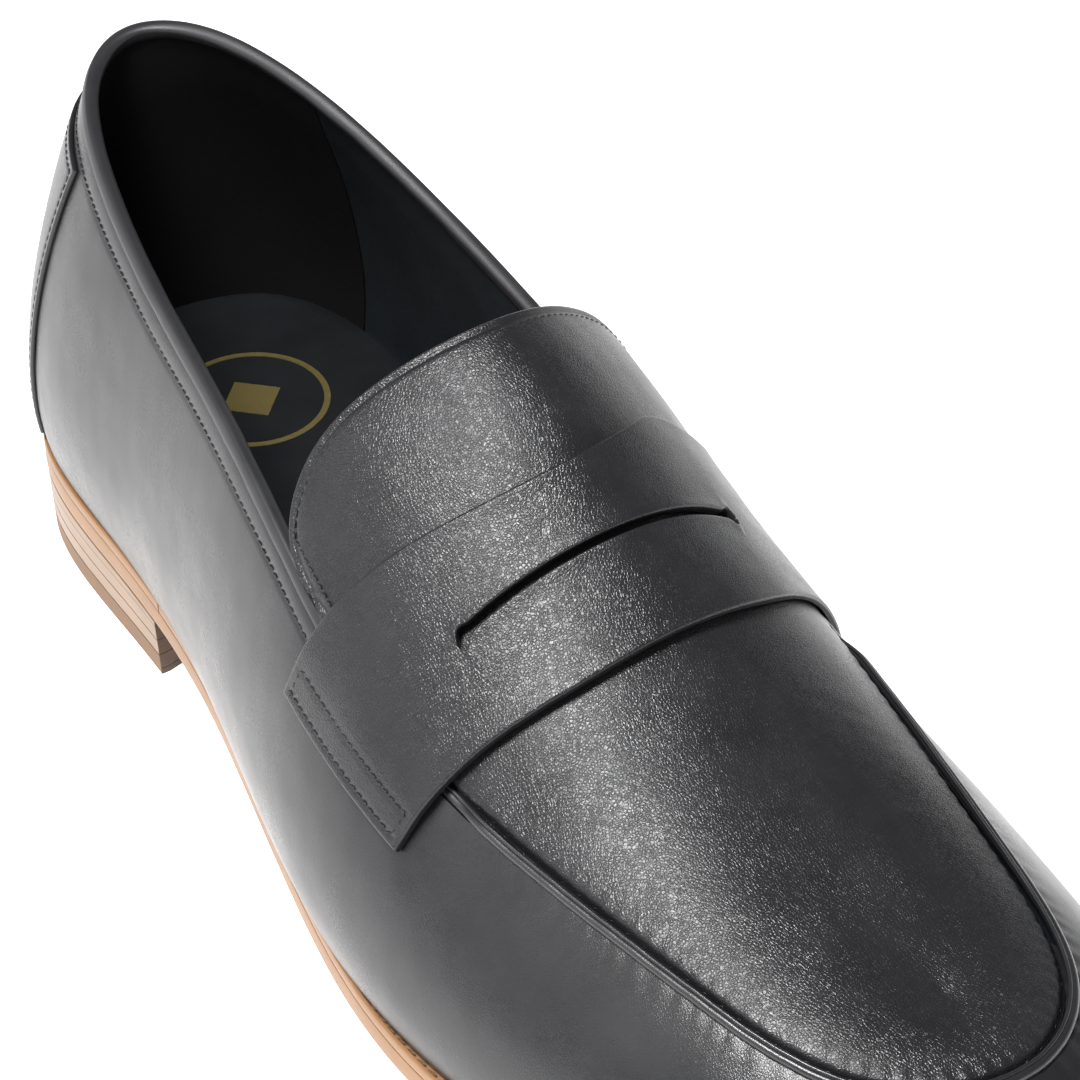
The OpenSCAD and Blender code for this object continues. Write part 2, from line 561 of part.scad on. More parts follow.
// ---- Stitching ---------------------------------------------------------------
// A stitch is a small ridge of thread between two points: [start, end, out, side]
module stitches(list) {
  polyhedron(points = [for (s = list) each [
      for (p = [s[0], s[1]]) each [p + s[2] * (thread_gap + thread_t / 2),
        p + s[2] * thread_gap + s[3] * thread_t / 2, p + s[2] * thread_gap - s[3] * thread_t / 2]]],
    faces = [for (k = [0:len(list) - 1]) let (o = 6 * k) each
      [[o, o + 1, o + 2], [o + 5, o + 4, o + 3],
       for (j = [0:2]) let (a = o + j, b = o + (j + 1) % 3) each [[a, a + 3, b + 3], [a, b + 3, b]]]]);
}
// Stitches along a list of places [point, out, side], one in each stretch
function run_length(ps) = let (d = [for (i = [1:len(ps) - 1]) norm(ps[i][0] - ps[i - 1][0])])
  [for (i = 0, sum = 0; i < len(ps); sum = sum + (i < len(d) ? d[i] : 0), i = i + 1) sum];
function place_at(ps, ls, l) = let (i = max([for (k = [0:len(ls) - 2]) if (ls[k] <= l) k]),
    f = (l - ls[i]) / (ls[i + 1] - ls[i]))
  [for (k = [0:2]) ps[i][k] * (1 - f) + ps[i + 1][k] * f];
function sewn(ps) = let (ls = run_length(ps), total = ls[len(ls) - 1],
    n = max(floor(total / stitch_pitch), 1), pitch = total / n)
  [for (k = [0:n - 1]) let (m = (k + 0.5) * pitch, a = place_at(ps, ls, m - stitch_l / 2),
      b = place_at(ps, ls, m + stitch_l / 2), o = unit(a[1] + b[1]))
    [a[0], b[0], o, unit(cross(b[0] - a[0], o))]];

function skin_place(t, u, h) = let (s = section(t)) [on_last(s, u, h), out_vec(s, u), [0, 0, 0]];
function topline_places(a, b) = [for (t = spread(a, b)) let (s = section(t), e = edge_u(t))
  skin_place(t, e - in_u(s, e, topline_row), 0)];
seam_clear = 0.1;
module topline_stitching() color(dark_edge) placed() stitches(concat(
  sewn(topline_places(seam_clear, 5.35)), sewn(topline_places(ROWS - 5.0, ROWS - seam_clear))));

tongue_in = tongue_row / 100;
module tongue_stitching() color(dark_edge) placed() stitches(sewn([for (j = [1:23])
  let (w = (1 - cos(180 * j / 24)) / 2, v = tongue_in + (1 - 2 * tongue_in) * w,
    a = tongue_point(v, 0.045, 0, 0), b = tongue_point(v, 0.046, 0, 0),
    c = tongue_point(v + 0.001, 0.045, 0, 0))
  [a, unit(cross(b - a, c - a)), [0, 0, 0]]]));

strap_out = backing_t + layer_gap + strap_t;
row_lift = 0.16;
function strap_place(f, u) = let (t = strap_rear(u) + (strap_front(u) - strap_rear(u)) * f, s = section(t),
    h = strap_out + strap_gap(u) + row_lift)
  [on_last(s, u, h), out_vec(s, u), [0, 0, 0]];
function strap_box(lo, hi) = concat(
  sewn([for (f = steps(0.06, 0.94, 10)) strap_place(f, lo)]),
  sewn([for (f = steps(0.06, 0.94, 10)) strap_place(f, hi)]));
module strap_stitching() color(dark_edge) placed() stitches(concat(
  strap_box(strap_lo + 0.03, strap_lo + 0.11), strap_box(strap_hi - 0.11, strap_hi - 0.03)));

module seam_stitching() color(dark_edge) placed() stitches(sewn(
  [for (t = spread(6.45, ROWS - 6.35)) let (s = section(t), e = edge_u(t))
    skin_place(t, e + in_u(s, e, seam_set + 1.2), 0)]));

cap_row_in = 1.5;
module heel_cap_stitching() color(dark_edge) placed() stitches([for (side = [-1, 1]) each
  sewn([for (q = steps(0.1, 0.82, 8)) let (t = side * (cap_half - cap_row_in / station_mm), s = section(t),
      u = edge_u(t) * q) skin_place(t, u, wall_gap + heel_cap_t)])]);

// Stations between which the welt stands out far enough to be stitched
welt_sewn = 6.2;
module welt_stitching() color("saddlebrown") placed() stitches(sewn(
  [for (t = spread(welt_sewn, ROWS - welt_sewn)) let (p = plan_at(t, -sole_out(feather(t)[0]) / 2))
    [[p[0], p[1], sole_z(p[0]) + rand_hi], [0, 0, 1], [0, 0, 0]]]));

skirt();
apron();
tongue();
saddle_strap();
strap_backing();
heel_cap();
apron_piping();
topline_binding();
vamp_lining();
quarter_lining_outer();
quarter_lining_inner();
heel_pocket_lining();
tongue_lining();
toe_puff();
heel_counter();
insole_board();
shank();
cork_filler();
foam_footbed();
sock_liner();
foil_mark();
welt();
heel_rand();
outsole();
heel_lift_upper();
heel_lift_lower();
heel_top_piece();
heel_nails();
topline_stitching();
tongue_stitching();
strap_stitching();
seam_stitching();
heel_cap_stitching();
welt_stitching();
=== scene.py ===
"""Penny loafer: leather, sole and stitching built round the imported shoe."""
import math

import bmesh
import bpy
import numpy as np
from mathutils import Matrix, Vector


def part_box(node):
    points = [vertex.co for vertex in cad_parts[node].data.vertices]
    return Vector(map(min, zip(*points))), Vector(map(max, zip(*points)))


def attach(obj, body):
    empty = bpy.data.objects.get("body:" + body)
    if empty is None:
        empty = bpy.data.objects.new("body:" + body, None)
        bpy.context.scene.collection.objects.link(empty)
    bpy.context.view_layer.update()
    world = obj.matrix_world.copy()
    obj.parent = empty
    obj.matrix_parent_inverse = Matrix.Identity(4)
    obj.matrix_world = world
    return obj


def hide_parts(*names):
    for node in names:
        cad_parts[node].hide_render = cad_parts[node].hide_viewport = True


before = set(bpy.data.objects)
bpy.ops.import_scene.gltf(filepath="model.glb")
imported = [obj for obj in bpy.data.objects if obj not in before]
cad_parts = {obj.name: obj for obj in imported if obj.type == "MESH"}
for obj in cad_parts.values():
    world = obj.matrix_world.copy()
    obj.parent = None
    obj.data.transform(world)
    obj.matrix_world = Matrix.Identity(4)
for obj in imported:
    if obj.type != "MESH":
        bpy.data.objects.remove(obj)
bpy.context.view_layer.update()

bl_info = {
    "name": "Penny loafer",
    "version": (1, 0, 0),
    "blender": (4, 5, 0),
    "location": "3D View > Sidebar > Loafer",
    "description": "Builds a black calf penny loafer with its linings, strap, seams, sole and heel",
    "category": "Object",
}

MM = 0.001
BODY = "root"

# ---------------------------------------------------------------------------
# The last: the shape that every layer of the shoe is drawn round, in mm
# ---------------------------------------------------------------------------
# Rows from heel to toe: [feather x, outer y, inner y, shoulder x, outer y, inner y, height,
# ridge x, y, height, bulge out, bulge up, crown]
LAST = np.array([
    [-144.5, 0, 0, -150, 0, 0, 56.5, -145.5, 0, 89, 3, 16, 0],
    [-139.5, 28.5, 25, -142, 19.5, 22.5, 55, -128.5, 0, 90, 3, 16, 2],
    [-115.5, 37.5, 35, -116.5, 28.5, 31.5, 53, -105, 1, 89, 4, 16, 3],
    [-84.5, 38, 33, -86, 33, 33.5, 51.5, -72, 1.5, 88, 4, 16, 4],
    [-50, 42, 27.5, -52.5, 37.5, 37, 55, -36.5, 1.5, 88, 4, 15, 4],
    [-14, 51, 32.5, -20, 42.5, 38, 55, -3, 1.5, 84, 4, 14, 5],
    [24, 57.5, 42, 13, 42.5, 37.5, 45, 20, 1.5, 69.5, 4, 13, 5],
    [62, 55, 47.5, 51.5, 39, 38, 36.5, 43, 0, 54.5, 3, 12, 4],
    [100, 44.5, 45, 90, 34.5, 34.5, 30, 70.5, 1, 42, 3, 12, 3],
    [131, 28, 34.5, 118, 24, 28.5, 25.5, 95.5, 2, 33.5, 3, 11, 1],
    [148, 0, 8, 130.5, 0, 8, 26, 107, 2, 29.5, 3, 10, 0]])
EDGE = np.array([1.75, 1.58, 1.42, 1.24, 1.15, 1.08, 1.02, 1.12, 1.26, 1.16,
                 1.2, 1.25, 1.3, 1.18, 0.98, 0.9, 0.94, 1.2, 1.58, 1.78])
PITCH_HEEL = np.array([1, 1, 0.98, 0.92, 0.75, 0.5, 0.23, 0.05, 0, 0, 0, 0, 0])
PITCH_TOE = np.array([0, 0, 0, 0, 0, 0, 0, 0, 0, 0.05, 0.25, 0.57, 1])
PITCH_FROM, PITCH_STEP = -150.0, 25.0
HEEL_HEIGHT, TOE_SPRING = 14.0, 7.2
OUTSOLE_T, WELT_T = 4.5, 2.5
SOLE_T = OUTSOLE_T + WELT_T
ROWS = 20
EPS = 1e-3
KNOTS = np.array([0, 0, 0, 0, 1, 2, 3, 4, 5, 6, 6, 6, 6], float)


def weights(f):
    """Weights of a uniform cubic curve for the fraction f of a span."""
    return np.stack([(1 - f) ** 3, 3 * f ** 3 - 6 * f ** 2 + 4,
                     -3 * f ** 3 + 3 * f ** 2 + 3 * f + 1, f ** 3], -1) / 6


def loop_at(control, t):
    """Point of a closed cubic curve at station t."""
    t = np.asarray(t, float)
    i = np.floor(t).astype(int)
    w = weights(t - i)
    if control.ndim > 1:
        w = w[..., None]
        return sum(w[..., k, :] * control[(i + k - 1) % len(control)] for k in range(4))
    return sum(w[..., k] * control[(i + k - 1) % len(control)] for k in range(4))


def open_at(control, s):
    """Value of an open cubic curve, carried on straight past its ends."""
    c = np.concatenate([[2 * control[0] - control[1]], control, [2 * control[-1] - control[-2]]])
    s = np.clip(s, 0, len(control) - 1)
    i = np.minimum(np.floor(s).astype(int), len(control) - 2)
    w = weights(s - i)
    return sum(w[..., k] * c[i + k] for k in range(4))


def sole_z(x):
    """Height of the sole's underside over the ground."""
    s = (np.asarray(x, float) - PITCH_FROM) / PITCH_STEP
    return open_at(PITCH_HEEL, s) * HEEL_HEIGHT + open_at(PITCH_TOE, s) * TOE_SPRING


def side_y(i, outer, inner):
    """Plan y of a net row's point on the side of the foot that row i serves."""
    if i % 10 == 0:
        return (inner - outer) / 2
    return -outer if i < 10 else inner


NET = LAST[[i if i <= 10 else ROWS - i for i in range(ROWS)]]
FEATHER = np.array([[r[0], side_y(i, r[1], r[2])] for i, r in enumerate(NET)])
SHOULDER = np.array([[r[3], side_y(i, r[4], r[5]), sole_z(r[3]) + SOLE_T + r[6]]
                     for i, r in enumerate(NET)])
RIDGE = np.array([[r[7], r[8], sole_z(r[7]) + SOLE_T + r[9]] for r in NET])
FORM = NET[:, 10:13]


def plan_out(t):
    """Plan direction that points out of the shoe at a station."""
    d = loop_at(FEATHER, t + EPS) - loop_at(FEATHER, t - EPS)
    n = np.stack([d[..., 1], -d[..., 0]], -1)
    return n / np.linalg.norm(n, axis=-1, keepdims=True)


def half_net(t):
    """Five control points of a section, from the feather line to the ridge."""
    b, n, f = loop_at(FEATHER, t), plan_out(t), loop_at(FORM, t)
    z = sole_z(b[..., 0]) + SOLE_T
    s, r = loop_at(SHOULDER, t), loop_at(RIDGE, t)
    base = np.concatenate([b, z[..., None]], -1)
    bulge = np.concatenate([b + n * f[..., :1], (z + f[..., 1])[..., None]], -1)
    crown = (s + r) / 2
    crown[..., 2] += f[..., 2]
    return [base, bulge, s, crown, r]


def basis(u):
    """Nine weights across a section: 0 outer feather, 3 ridge, 6 inner feather."""
    u = np.clip(np.asarray(u, float), 0, 6 - 1e-9)
    low = [((u >= KNOTS[i]) & (u < KNOTS[i + 1])).astype(float) for i in range(12)]
    for d in range(1, 4):
        high = []
        for i in range(12 - d):
            w = 0
            if KNOTS[i + d] > KNOTS[i]:
                w = w + (u - KNOTS[i]) / (KNOTS[i + d] - KNOTS[i]) * low[i]
            if KNOTS[i + d + 1] > KNOTS[i + 1]:
                w = w + (KNOTS[i + d + 1] - u) / (KNOTS[i + d + 1] - KNOTS[i + 1]) * low[i + 1]
            high.append(w)
        low = high
    return np.stack(low, -1)


def last_at(t, u):
    """Point of the last at station t and height u, before it is centred."""
    t, u = np.broadcast_arrays(np.asarray(t, float), np.asarray(u, float))
    a, b = half_net(t), half_net(ROWS - t)
    net = a + b[:4][::-1]
    w = basis(u)
    return sum(w[..., k, None] * net[k] for k in range(9))


def along(t, u):
    """Direction of travel along the shoe."""
    return last_at(t + EPS, u) - last_at(t - EPS, u)


def upward(t, u):
    """Change of place for a small step across the section."""
    return last_at(t, np.minimum(u + EPS, 6)) - last_at(t, np.maximum(u - EPS, 0))


def unit(v):
    """Directions of length one."""
    return v / np.maximum(np.linalg.norm(v, axis=-1, keepdims=True), 1e-12)


def outward(t, u):
    """Outward direction; on the ridge at the toe it is read just beside the fold."""
    t, u = np.broadcast_arrays(np.asarray(t, float), np.asarray(u, float))
    n = np.cross(along(t, u), upward(t, u))
    flat = np.linalg.norm(n, axis=-1) < 1e-7
    if flat.any():
        beside = np.where(flat, u - 0.02, u)
        n = np.cross(along(t, beside), upward(t, beside))
    return unit(n)


def in_u(t, u, mm):
    """What a length in mm is in u at a place."""
    return mm * 2 * EPS / np.linalg.norm(upward(t, u), axis=-1)


def edge_u(t):
    """Height of the upper's edge: the topline behind, the raised seam in front."""
    return loop_at(EDGE, t)


def plan_at(t, inset):
    """Plan point a distance in from the feather line."""
    return loop_at(FEATHER, t) - plan_out(t) * np.asarray(inset)[..., None]


def smooth(x):
    """A soft step from 0 to 1."""
    q = np.clip(x, 0, 1)
    return q * q * (3 - 2 * q)


HEEL_L = 71.0
HEEL_X = -144 + HEEL_L
HEEL_EDGE, FOREPART_EDGE = 0.6, 1.8
WAIST_TUCK, WAIST_X, WAIST_L = 2.7, -15.0, 48.0


def sole_out(x):
    """How far the sole stands out from the feather line; it tucks in at the waist."""
    return (HEEL_EDGE + (FOREPART_EDGE - HEEL_EDGE) * smooth((x - HEEL_X) / 60)
            - WAIST_TUCK * np.exp(-((x - WAIST_X) / WAIST_L) ** 2))


def sole_plan(t, more=0.0):
    """Plan outline of the sole, or one that lies further out."""
    return plan_at(t, -sole_out(loop_at(FEATHER, t)[..., 0]) - more)


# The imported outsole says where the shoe's centre is
_plan = sole_plan(np.arange(96) * ROWS / 96)
SHIFT = np.array([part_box("outsole")[0][k] / MM - _plan[:, k].min() for k in (0, 1)] + [0.0])


def on_last(t, u, h=0.0):
    """Centred point at height h over the last, in mm."""
    return last_at(t, u) + outward(t, u) * np.asarray(h)[..., None] + SHIFT


def to_plan(p, z):
    """Centred 3-D points from plan points and heights."""
    z = np.broadcast_to(z, p.shape[:-1])
    return np.concatenate([p, z[..., None]], -1) + SHIFT


# ---------------------------------------------------------------------------
# Meshes
# ---------------------------------------------------------------------------
def mesh_object(name, points, faces, materials, slots=None, sharp=None):
    """A mesh object at the origin from points in mm and a list of faces."""
    mesh = bpy.data.meshes.new(name)
    mesh.from_pydata((np.asarray(points) * MM).tolist(), [], faces)
    mesh.validate()
    for material in materials:
        mesh.materials.append(material)
    if slots is not None:
        mesh.polygons.foreach_set("material_index", slots)
    mesh.polygons.foreach_set("use_smooth", np.ones(len(mesh.polygons), bool))
    if sharp:
        mesh.set_sharp_from_angle(angle=math.radians(sharp))
    mesh.update()
    obj = bpy.data.objects.new(name, mesh)
    bpy.context.scene.collection.objects.link(obj)
    return obj


def sheet_object(name, outer, inner, materials, fold=False, hole=None, sharp=50):
    """A closed sheet between two grids of points.

    materials are the face's, and, where there is a second one, the cut edge's. fold closes
    the last row on itself. hole is (first row, last row, first column, last column) of cells
    that are left out.
    """
    n, m = outer.shape[:2]
    points = np.concatenate([outer.reshape(-1, 3), inner.reshape(-1, 3)])
    ids = np.arange(n * m).reshape(n, m)
    if fold:
        half = (m - 1) // 2
        ids[-1, half + 1:] = ids[-1, :m - 1 - half][::-1]
    there = np.ones((n - 1, m - 1), bool)
    if hole:
        there[hole[0]:hole[1] + 1, hole[2]:hole[3] + 1] = False
    a, b = ids[:-1, :-1], ids[1:, :-1]
    c, d = ids[1:, 1:], ids[:-1, 1:]
    back = n * m
    faces = [np.stack([a, b, c, d], -1)[there], np.stack([a, d, c, b], -1)[there] + back]
    pad = np.pad(there, 1)
    walls = []
    for edge, lone in (((b, a), ~pad[1:-1, :-2]), ((a, d), ~pad[:-2, 1:-1]),
                       ((d, c), ~pad[1:-1, 2:]), ((c, b), ~pad[2:, 1:-1])):
        lone = lone & there
        if fold and edge[0] is c and edge[1] is b:
            lone[-1] = False
        p, q = edge[0][lone], edge[1][lone]
        walls.append(np.stack([p, q, q + back, p + back], -1))
    walls = np.concatenate(walls)
    cells = np.concatenate(faces + [walls])
    slots = np.zeros(len(cells), int)
    if len(materials) > 1:
        slots[len(cells) - len(walls):] = 1
    face_list, slot_list = [], []
    for cell, slot in zip(cells.tolist(), slots.tolist()):
        once = list(dict.fromkeys(cell))
        if len(once) > 2:
            face_list.append(once)
            slot_list.append(slot)
    obj = mesh_object(name, points, face_list, materials, slot_list)
    tidy_mesh(obj, sharp)
    return obj


def tidy_mesh(obj, sharp=50, merge=1e-6):
    """Drops loose points, merges doubles and marks the sharp edges."""
    bm = bmesh.new()
    bm.from_mesh(obj.data)
    bmesh.ops.delete(bm, geom=[v for v in bm.verts if not v.link_faces], context="VERTS")
    bmesh.ops.remove_doubles(bm, verts=bm.verts, dist=merge)
    bmesh.ops.dissolve_degenerate(bm, edges=bm.edges, dist=merge)
    bm.to_mesh(obj.data)
    bm.free()
    if sharp:
        obj.data.set_sharp_from_angle(angle=math.radians(sharp))
    obj.data.update()


def face_out(obj, sharp, split=False):
    """Turns every face outwards, with split cuts large ones into triangles, and marks sharp edges."""
    bm = bmesh.new()
    bm.from_mesh(obj.data)
    if split:
        bmesh.ops.triangulate(bm, faces=[f for f in bm.faces if len(f.verts) > 4])
    bmesh.ops.recalc_face_normals(bm, faces=bm.faces)
    bm.to_mesh(obj.data)
    bm.free()
    obj.data.set_sharp_from_angle(angle=math.radians(sharp))
    return obj


def tube_object(name, rings, materials, closed=False, sharp=60):
    """A tube through rings of points; the ends are capped unless it is closed."""
    n, m = rings.shape[:2]
    ids = np.arange(n * m).reshape(n, m)
    nxt = np.roll(ids, -1, 0) if closed else ids[1:]
    cur = ids if closed else ids[:-1]
    faces = np.stack([cur, np.roll(cur, -1, 1), np.roll(nxt, -1, 1), nxt], -1).reshape(-1, 4)
    face_list = faces.tolist()
    if not closed:
        face_list += [ids[0][::-1].tolist(), ids[-1].tolist()]
    return face_out(mesh_object(name, rings.reshape(-1, 3), face_list, materials), sharp)


def slab_object(name, rings, materials, rows, sharp=40):
    """A slab from outline loops, bottom to top, closed by a grid across its two faces.

    Point i of a loop and point n - i face each other across the slab.
    """
    k, n = rings.shape[:2]
    points = [rings.reshape(-1, 3)]
    ids = np.arange(k * n).reshape(k, n)
    faces = []
    for low, high in zip(ids[:-1], ids[1:]):
        faces.append(np.stack([low, np.roll(low, -1), np.roll(high, -1), high], -1))
    count = k * n
    half = n // 2
    for loop, flip in ((ids[0], True), (ids[-1], False)):
        ring = rings[0] if flip else rings[-1]
        left, right = ring[:half + 1], ring[(-np.arange(half + 1)) % n]
        w = np.arange(1, rows) / rows
        inner = left[:, None] * (1 - w[:, None]) + right[:, None] * w[:, None]
        grid = count + np.arange((half + 1) * (rows - 1)).reshape(half + 1, rows - 1)
        count += grid.size
        points.append(inner.reshape(-1, 3))
        facing = loop[(-np.arange(half + 1)) % n]
        across = np.concatenate([loop[:half + 1, None], grid, facing[:, None]], 1)
        cell = np.stack([across[:-1, :-1], across[1:, :-1], across[1:, 1:], across[:-1, 1:]], -1)
        cell = cell.reshape(-1, 4)
        faces.append(cell[:, ::-1] if flip else cell)
    obj = mesh_object(name, np.concatenate(points), np.concatenate(faces).tolist(), materials)
    tidy_mesh(obj, None, 1e-5)
    return face_out(obj, sharp)


def plate_object(name, rings, materials, sharp=40):
    """A short loft through outline loops with one flat face on each end."""
    k, n = rings.shape[:2]
    ids = np.arange(k * n).reshape(k, n)
    faces = []
    for low, high in zip(ids[:-1], ids[1:]):
        faces += np.stack([low, np.roll(low, -1), np.roll(high, -1), high], -1).tolist()
    faces += [ids[0][::-1].tolist(), ids[-1].tolist()]
    return face_out(mesh_object(name, rings.reshape(-1, 3), faces, materials), sharp, split=True)


def keep(obj, slot, *nodes):
    """Puts a finished piece on the shoe's body in place of its CAD nodes."""
    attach(obj, BODY)
    if nodes:
        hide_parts(*nodes)
    return obj


def ripple(p, size, seed, waves=7):
    """Soft uneven swell of hand-lasted leather, from -1 to 1, with waves about size mm long."""
    rng = np.random.default_rng(seed)
    total = 0
    for _ in range(waves):
        d = unit(rng.normal(size=3)) * 2 * math.pi / size * rng.uniform(0.6, 1.5)
        total = total + np.sin(p @ d + rng.uniform(0, 2 * math.pi))
    return total / waves


def bell(x, width):
    """A soft bump of height one at x = 0."""
    return np.exp(-(x / width) ** 2)


def round_over(d, r):
    """How far a face drops towards its edge, d mm away, for an edge radius r."""
    q = np.clip(r - d, 0, r)
    return -(r - np.sqrt(np.maximum(r * r - q * q, 0)))


def cosine(n):
    """Shares from 0 to 1, close together at both ends."""
    return (1 - np.cos(np.linspace(0, math.pi, n))) / 2


# ---------------------------------------------------------------------------
# Materials
# ---------------------------------------------------------------------------
class Shader:
    """A small helper that adds and links nodes of one material."""

    def __init__(self, name):
        """Makes the material; place holds its Object coordinates."""
        self.material = bpy.data.materials.new(name)
        self.material.use_nodes = True
        self.nodes = self.material.node_tree.nodes
        self.links = self.material.node_tree.links
        self.bsdf = self.nodes["Principled BSDF"]
        self.place = self.nodes.new("ShaderNodeTexCoord").outputs["Object"]

    def put(self, socket, value):
        """Links a socket to another one, or sets its value."""
        if isinstance(value, bpy.types.NodeSocket):
            self.links.new(value, socket)
        else:
            socket.default_value = value

    def add(self, kind, props=None, **inputs):
        """Adds a node with its properties and inputs set."""
        node = self.nodes.new(kind)
        for key, value in (props or {}).items():
            setattr(node, key, value)
        for key, value in inputs.items():
            self.put(node.inputs[key.replace("_", " ")], value)
        return node

    def stretched(self, x, y, z):
        """Object coordinates scaled by three factors."""
        node = self.add("ShaderNodeMapping")
        node.inputs["Scale"].default_value = (x, y, z)
        self.links.new(self.place, node.inputs["Vector"])
        return node.outputs["Vector"]

    def noise(self, scale, detail=3.0, rough=0.55, vector=None):
        """Cloudy noise, scale waves to the metre."""
        node = self.add("ShaderNodeTexNoise", Scale=scale, Detail=detail, Roughness=rough,
                        Vector=vector or self.place)
        return node.outputs["Fac"]

    def cells(self, scale, feature="F1", vector=None):
        """Distance in a cell pattern, scale cells to the metre."""
        node = self.add("ShaderNodeTexVoronoi", {"feature": feature}, Scale=scale,
                        Vector=vector or self.place)
        return node.outputs["Distance"]

    def span(self, value, low, high, to_low=0.0, to_high=1.0):
        """Carries a value from one range over to another."""
        node = self.add("ShaderNodeMapRange")
        self.put(node.inputs["Value"], value)
        node.inputs["From Min"].default_value = low
        node.inputs["From Max"].default_value = high
        node.inputs["To Min"].default_value = to_low
        node.inputs["To Max"].default_value = to_high
        return node.outputs["Result"]

    def maths(self, operation, a, b):
        """One step of arithmetic."""
        node = self.add("ShaderNodeMath", {"operation": operation})
        self.put(node.inputs[0], a)
        self.put(node.inputs[1], b)
        return node.outputs[0]

    def blend(self, factor, a, b):
        """A mix of two colours."""
        node = self.add("ShaderNodeMix", {"data_type": "RGBA"})
        self.put(node.inputs["Factor"], factor)
        self.put(node.inputs["A"], (*a, 1) if isinstance(a, tuple) else a)
        self.put(node.inputs["B"], (*b, 1) if isinstance(b, tuple) else b)
        return node.outputs["Result"]

    def relief(self, height, depth, strength=1.0, below=None):
        """Bump of a depth in mm, over another bump if one is given."""
        node = self.add("ShaderNodeBump", Strength=strength, Distance=depth * MM)
        self.put(node.inputs["Height"], height)
        if below is not None:
            self.links.new(below, node.inputs["Normal"])
        return node.outputs["Normal"]

    def finish(self, color, roughness, normal=None, **fixed):
        """Sets the surface; fixed values stay on the shader's own sockets."""
        self.put(self.bsdf.inputs["Base Color"], (*color, 1) if isinstance(color, tuple) else color)
        self.put(self.bsdf.inputs["Roughness"], roughness)
        if normal is not None:
            self.links.new(normal, self.bsdf.inputs["Normal"])
        for key, value in fixed.items():
            self.bsdf.inputs[key.replace("_", " ")].default_value = value
        return self.material


def grained_leather(name, dark, light, rough, grain_mm, grain_depth, level=0.5, vary=0.35,
                    polish=0.25):
    """Leather with a pebbled grain, finer creases and a slightly uneven finish."""
    s = Shader(name)
    warp = s.add("ShaderNodeVectorMath", {"operation": "MULTIPLY_ADD"})
    swirl = s.add("ShaderNodeTexNoise", Scale=260.0, Detail=2.0, Vector=s.place)
    s.links.new(swirl.outputs["Color"], warp.inputs[0])
    warp.inputs[1].default_value = (0.0011,) * 3
    s.links.new(s.place, warp.inputs[2])
    bent = warp.outputs["Vector"]
    pebble = s.span(s.cells(1000 / grain_mm, "DISTANCE_TO_EDGE", bent), 0.0, 0.28)
    crease = s.noise(620.0, 6.0, 0.68, bent)
    patch = s.span(s.noise(38.0, 3.0), 0.36, 0.66, 1 - vary, 1.0)
    height = s.maths("MULTIPLY", s.maths("ADD", s.maths("MULTIPLY", pebble, 0.72),
                                         s.maths("MULTIPLY", crease, 0.8)), patch)
    pores = s.noise(5200.0, 2.0)
    normal = s.relief(pores, 0.012, 0.5, s.relief(height, grain_depth))
    color = s.blend(s.span(s.noise(90.0, 4.0), 0.3, 0.7), dark, light)
    shine = s.span(s.noise(55.0, 4.0), 0.3, 0.7, rough - 0.05, rough + 0.06)
    return s.finish(color, shine, normal, Specular_IOR_Level=level, Coat_Weight=polish,
                    Coat_Roughness=0.42)


def cut_edge(name, color, rough):
    """A painted or burnished cut edge: fibres run along it under the finish."""
    s = Shader(name)
    fibre = s.noise(900.0, 4.0, 0.6, s.stretched(0.3, 0.3, 2.2))
    tone = s.blend(s.span(fibre, 0.3, 0.7), tuple(c * 0.7 for c in color), color)
    return s.finish(tone, s.span(fibre, 0.3, 0.7, rough - 0.06, rough + 0.08),
                    s.relief(fibre, 0.05, 0.7))


def sole_leather(name, dark, light, rough, layer_mm=0.0, line=(0.1, 0.05, 0.02)):
    """Tanned sole leather: fibre layers on the edge and, with layer_mm, the lines of a stack."""
    s = Shader(name)
    fibre = s.noise(420.0, 6.0, 0.65, s.stretched(0.16, 0.16, 2.6))
    cloud = s.noise(45.0, 4.0)
    tone = s.blend(s.span(s.maths("ADD", s.maths("MULTIPLY", fibre, 0.6),
                                  s.maths("MULTIPLY", cloud, 0.4)), 0.36, 0.64), dark, light)
    scuff = s.span(s.noise(160.0, 6.0, 0.7), 0.62, 0.74)
    tone = s.blend(s.maths("MULTIPLY", scuff, 0.35), tone, tuple(c * 0.55 for c in dark))
    height = fibre
    if layer_mm:
        wobble = s.maths("MULTIPLY", s.noise(70.0, 2.0), 0.0006)
        axis = s.add("ShaderNodeSeparateXYZ", Vector=s.place).outputs["Z"]
        phase = s.maths("FRACT", s.maths("DIVIDE", s.maths("ADD", axis, wobble), layer_mm * MM), 0.0)
        near = s.span(s.maths("ABSOLUTE", s.maths("SUBTRACT", phase, 0.5), 0.0), 0.0, 0.07, 1.0, 0.0)
        tone = s.blend(s.maths("MULTIPLY", near, 0.8), tone, line)
        height = s.maths("SUBTRACT", height, s.maths("MULTIPLY", near, 1.5))
    return s.finish(tone, s.span(fibre, 0.3, 0.7, rough - 0.08, rough + 0.08),
                    s.relief(height, 0.09, 0.8))


def plain_grained(name, color, rough, scale, depth, metal=0.0, level=0.5, spread=0.3):
    """A simple finish with a fine uneven surface."""
    s = Shader(name)
    n = s.noise(scale, 4.0, 0.6)
    tone = s.blend(s.span(n, 0.3, 0.7), tuple(c * (1 - spread) for c in color), color)
    return s.finish(tone, s.span(n, 0.3, 0.7, rough - 0.07, rough + 0.07), s.relief(n, depth, 0.8),
                    Metallic=metal, Specular_IOR_Level=level)


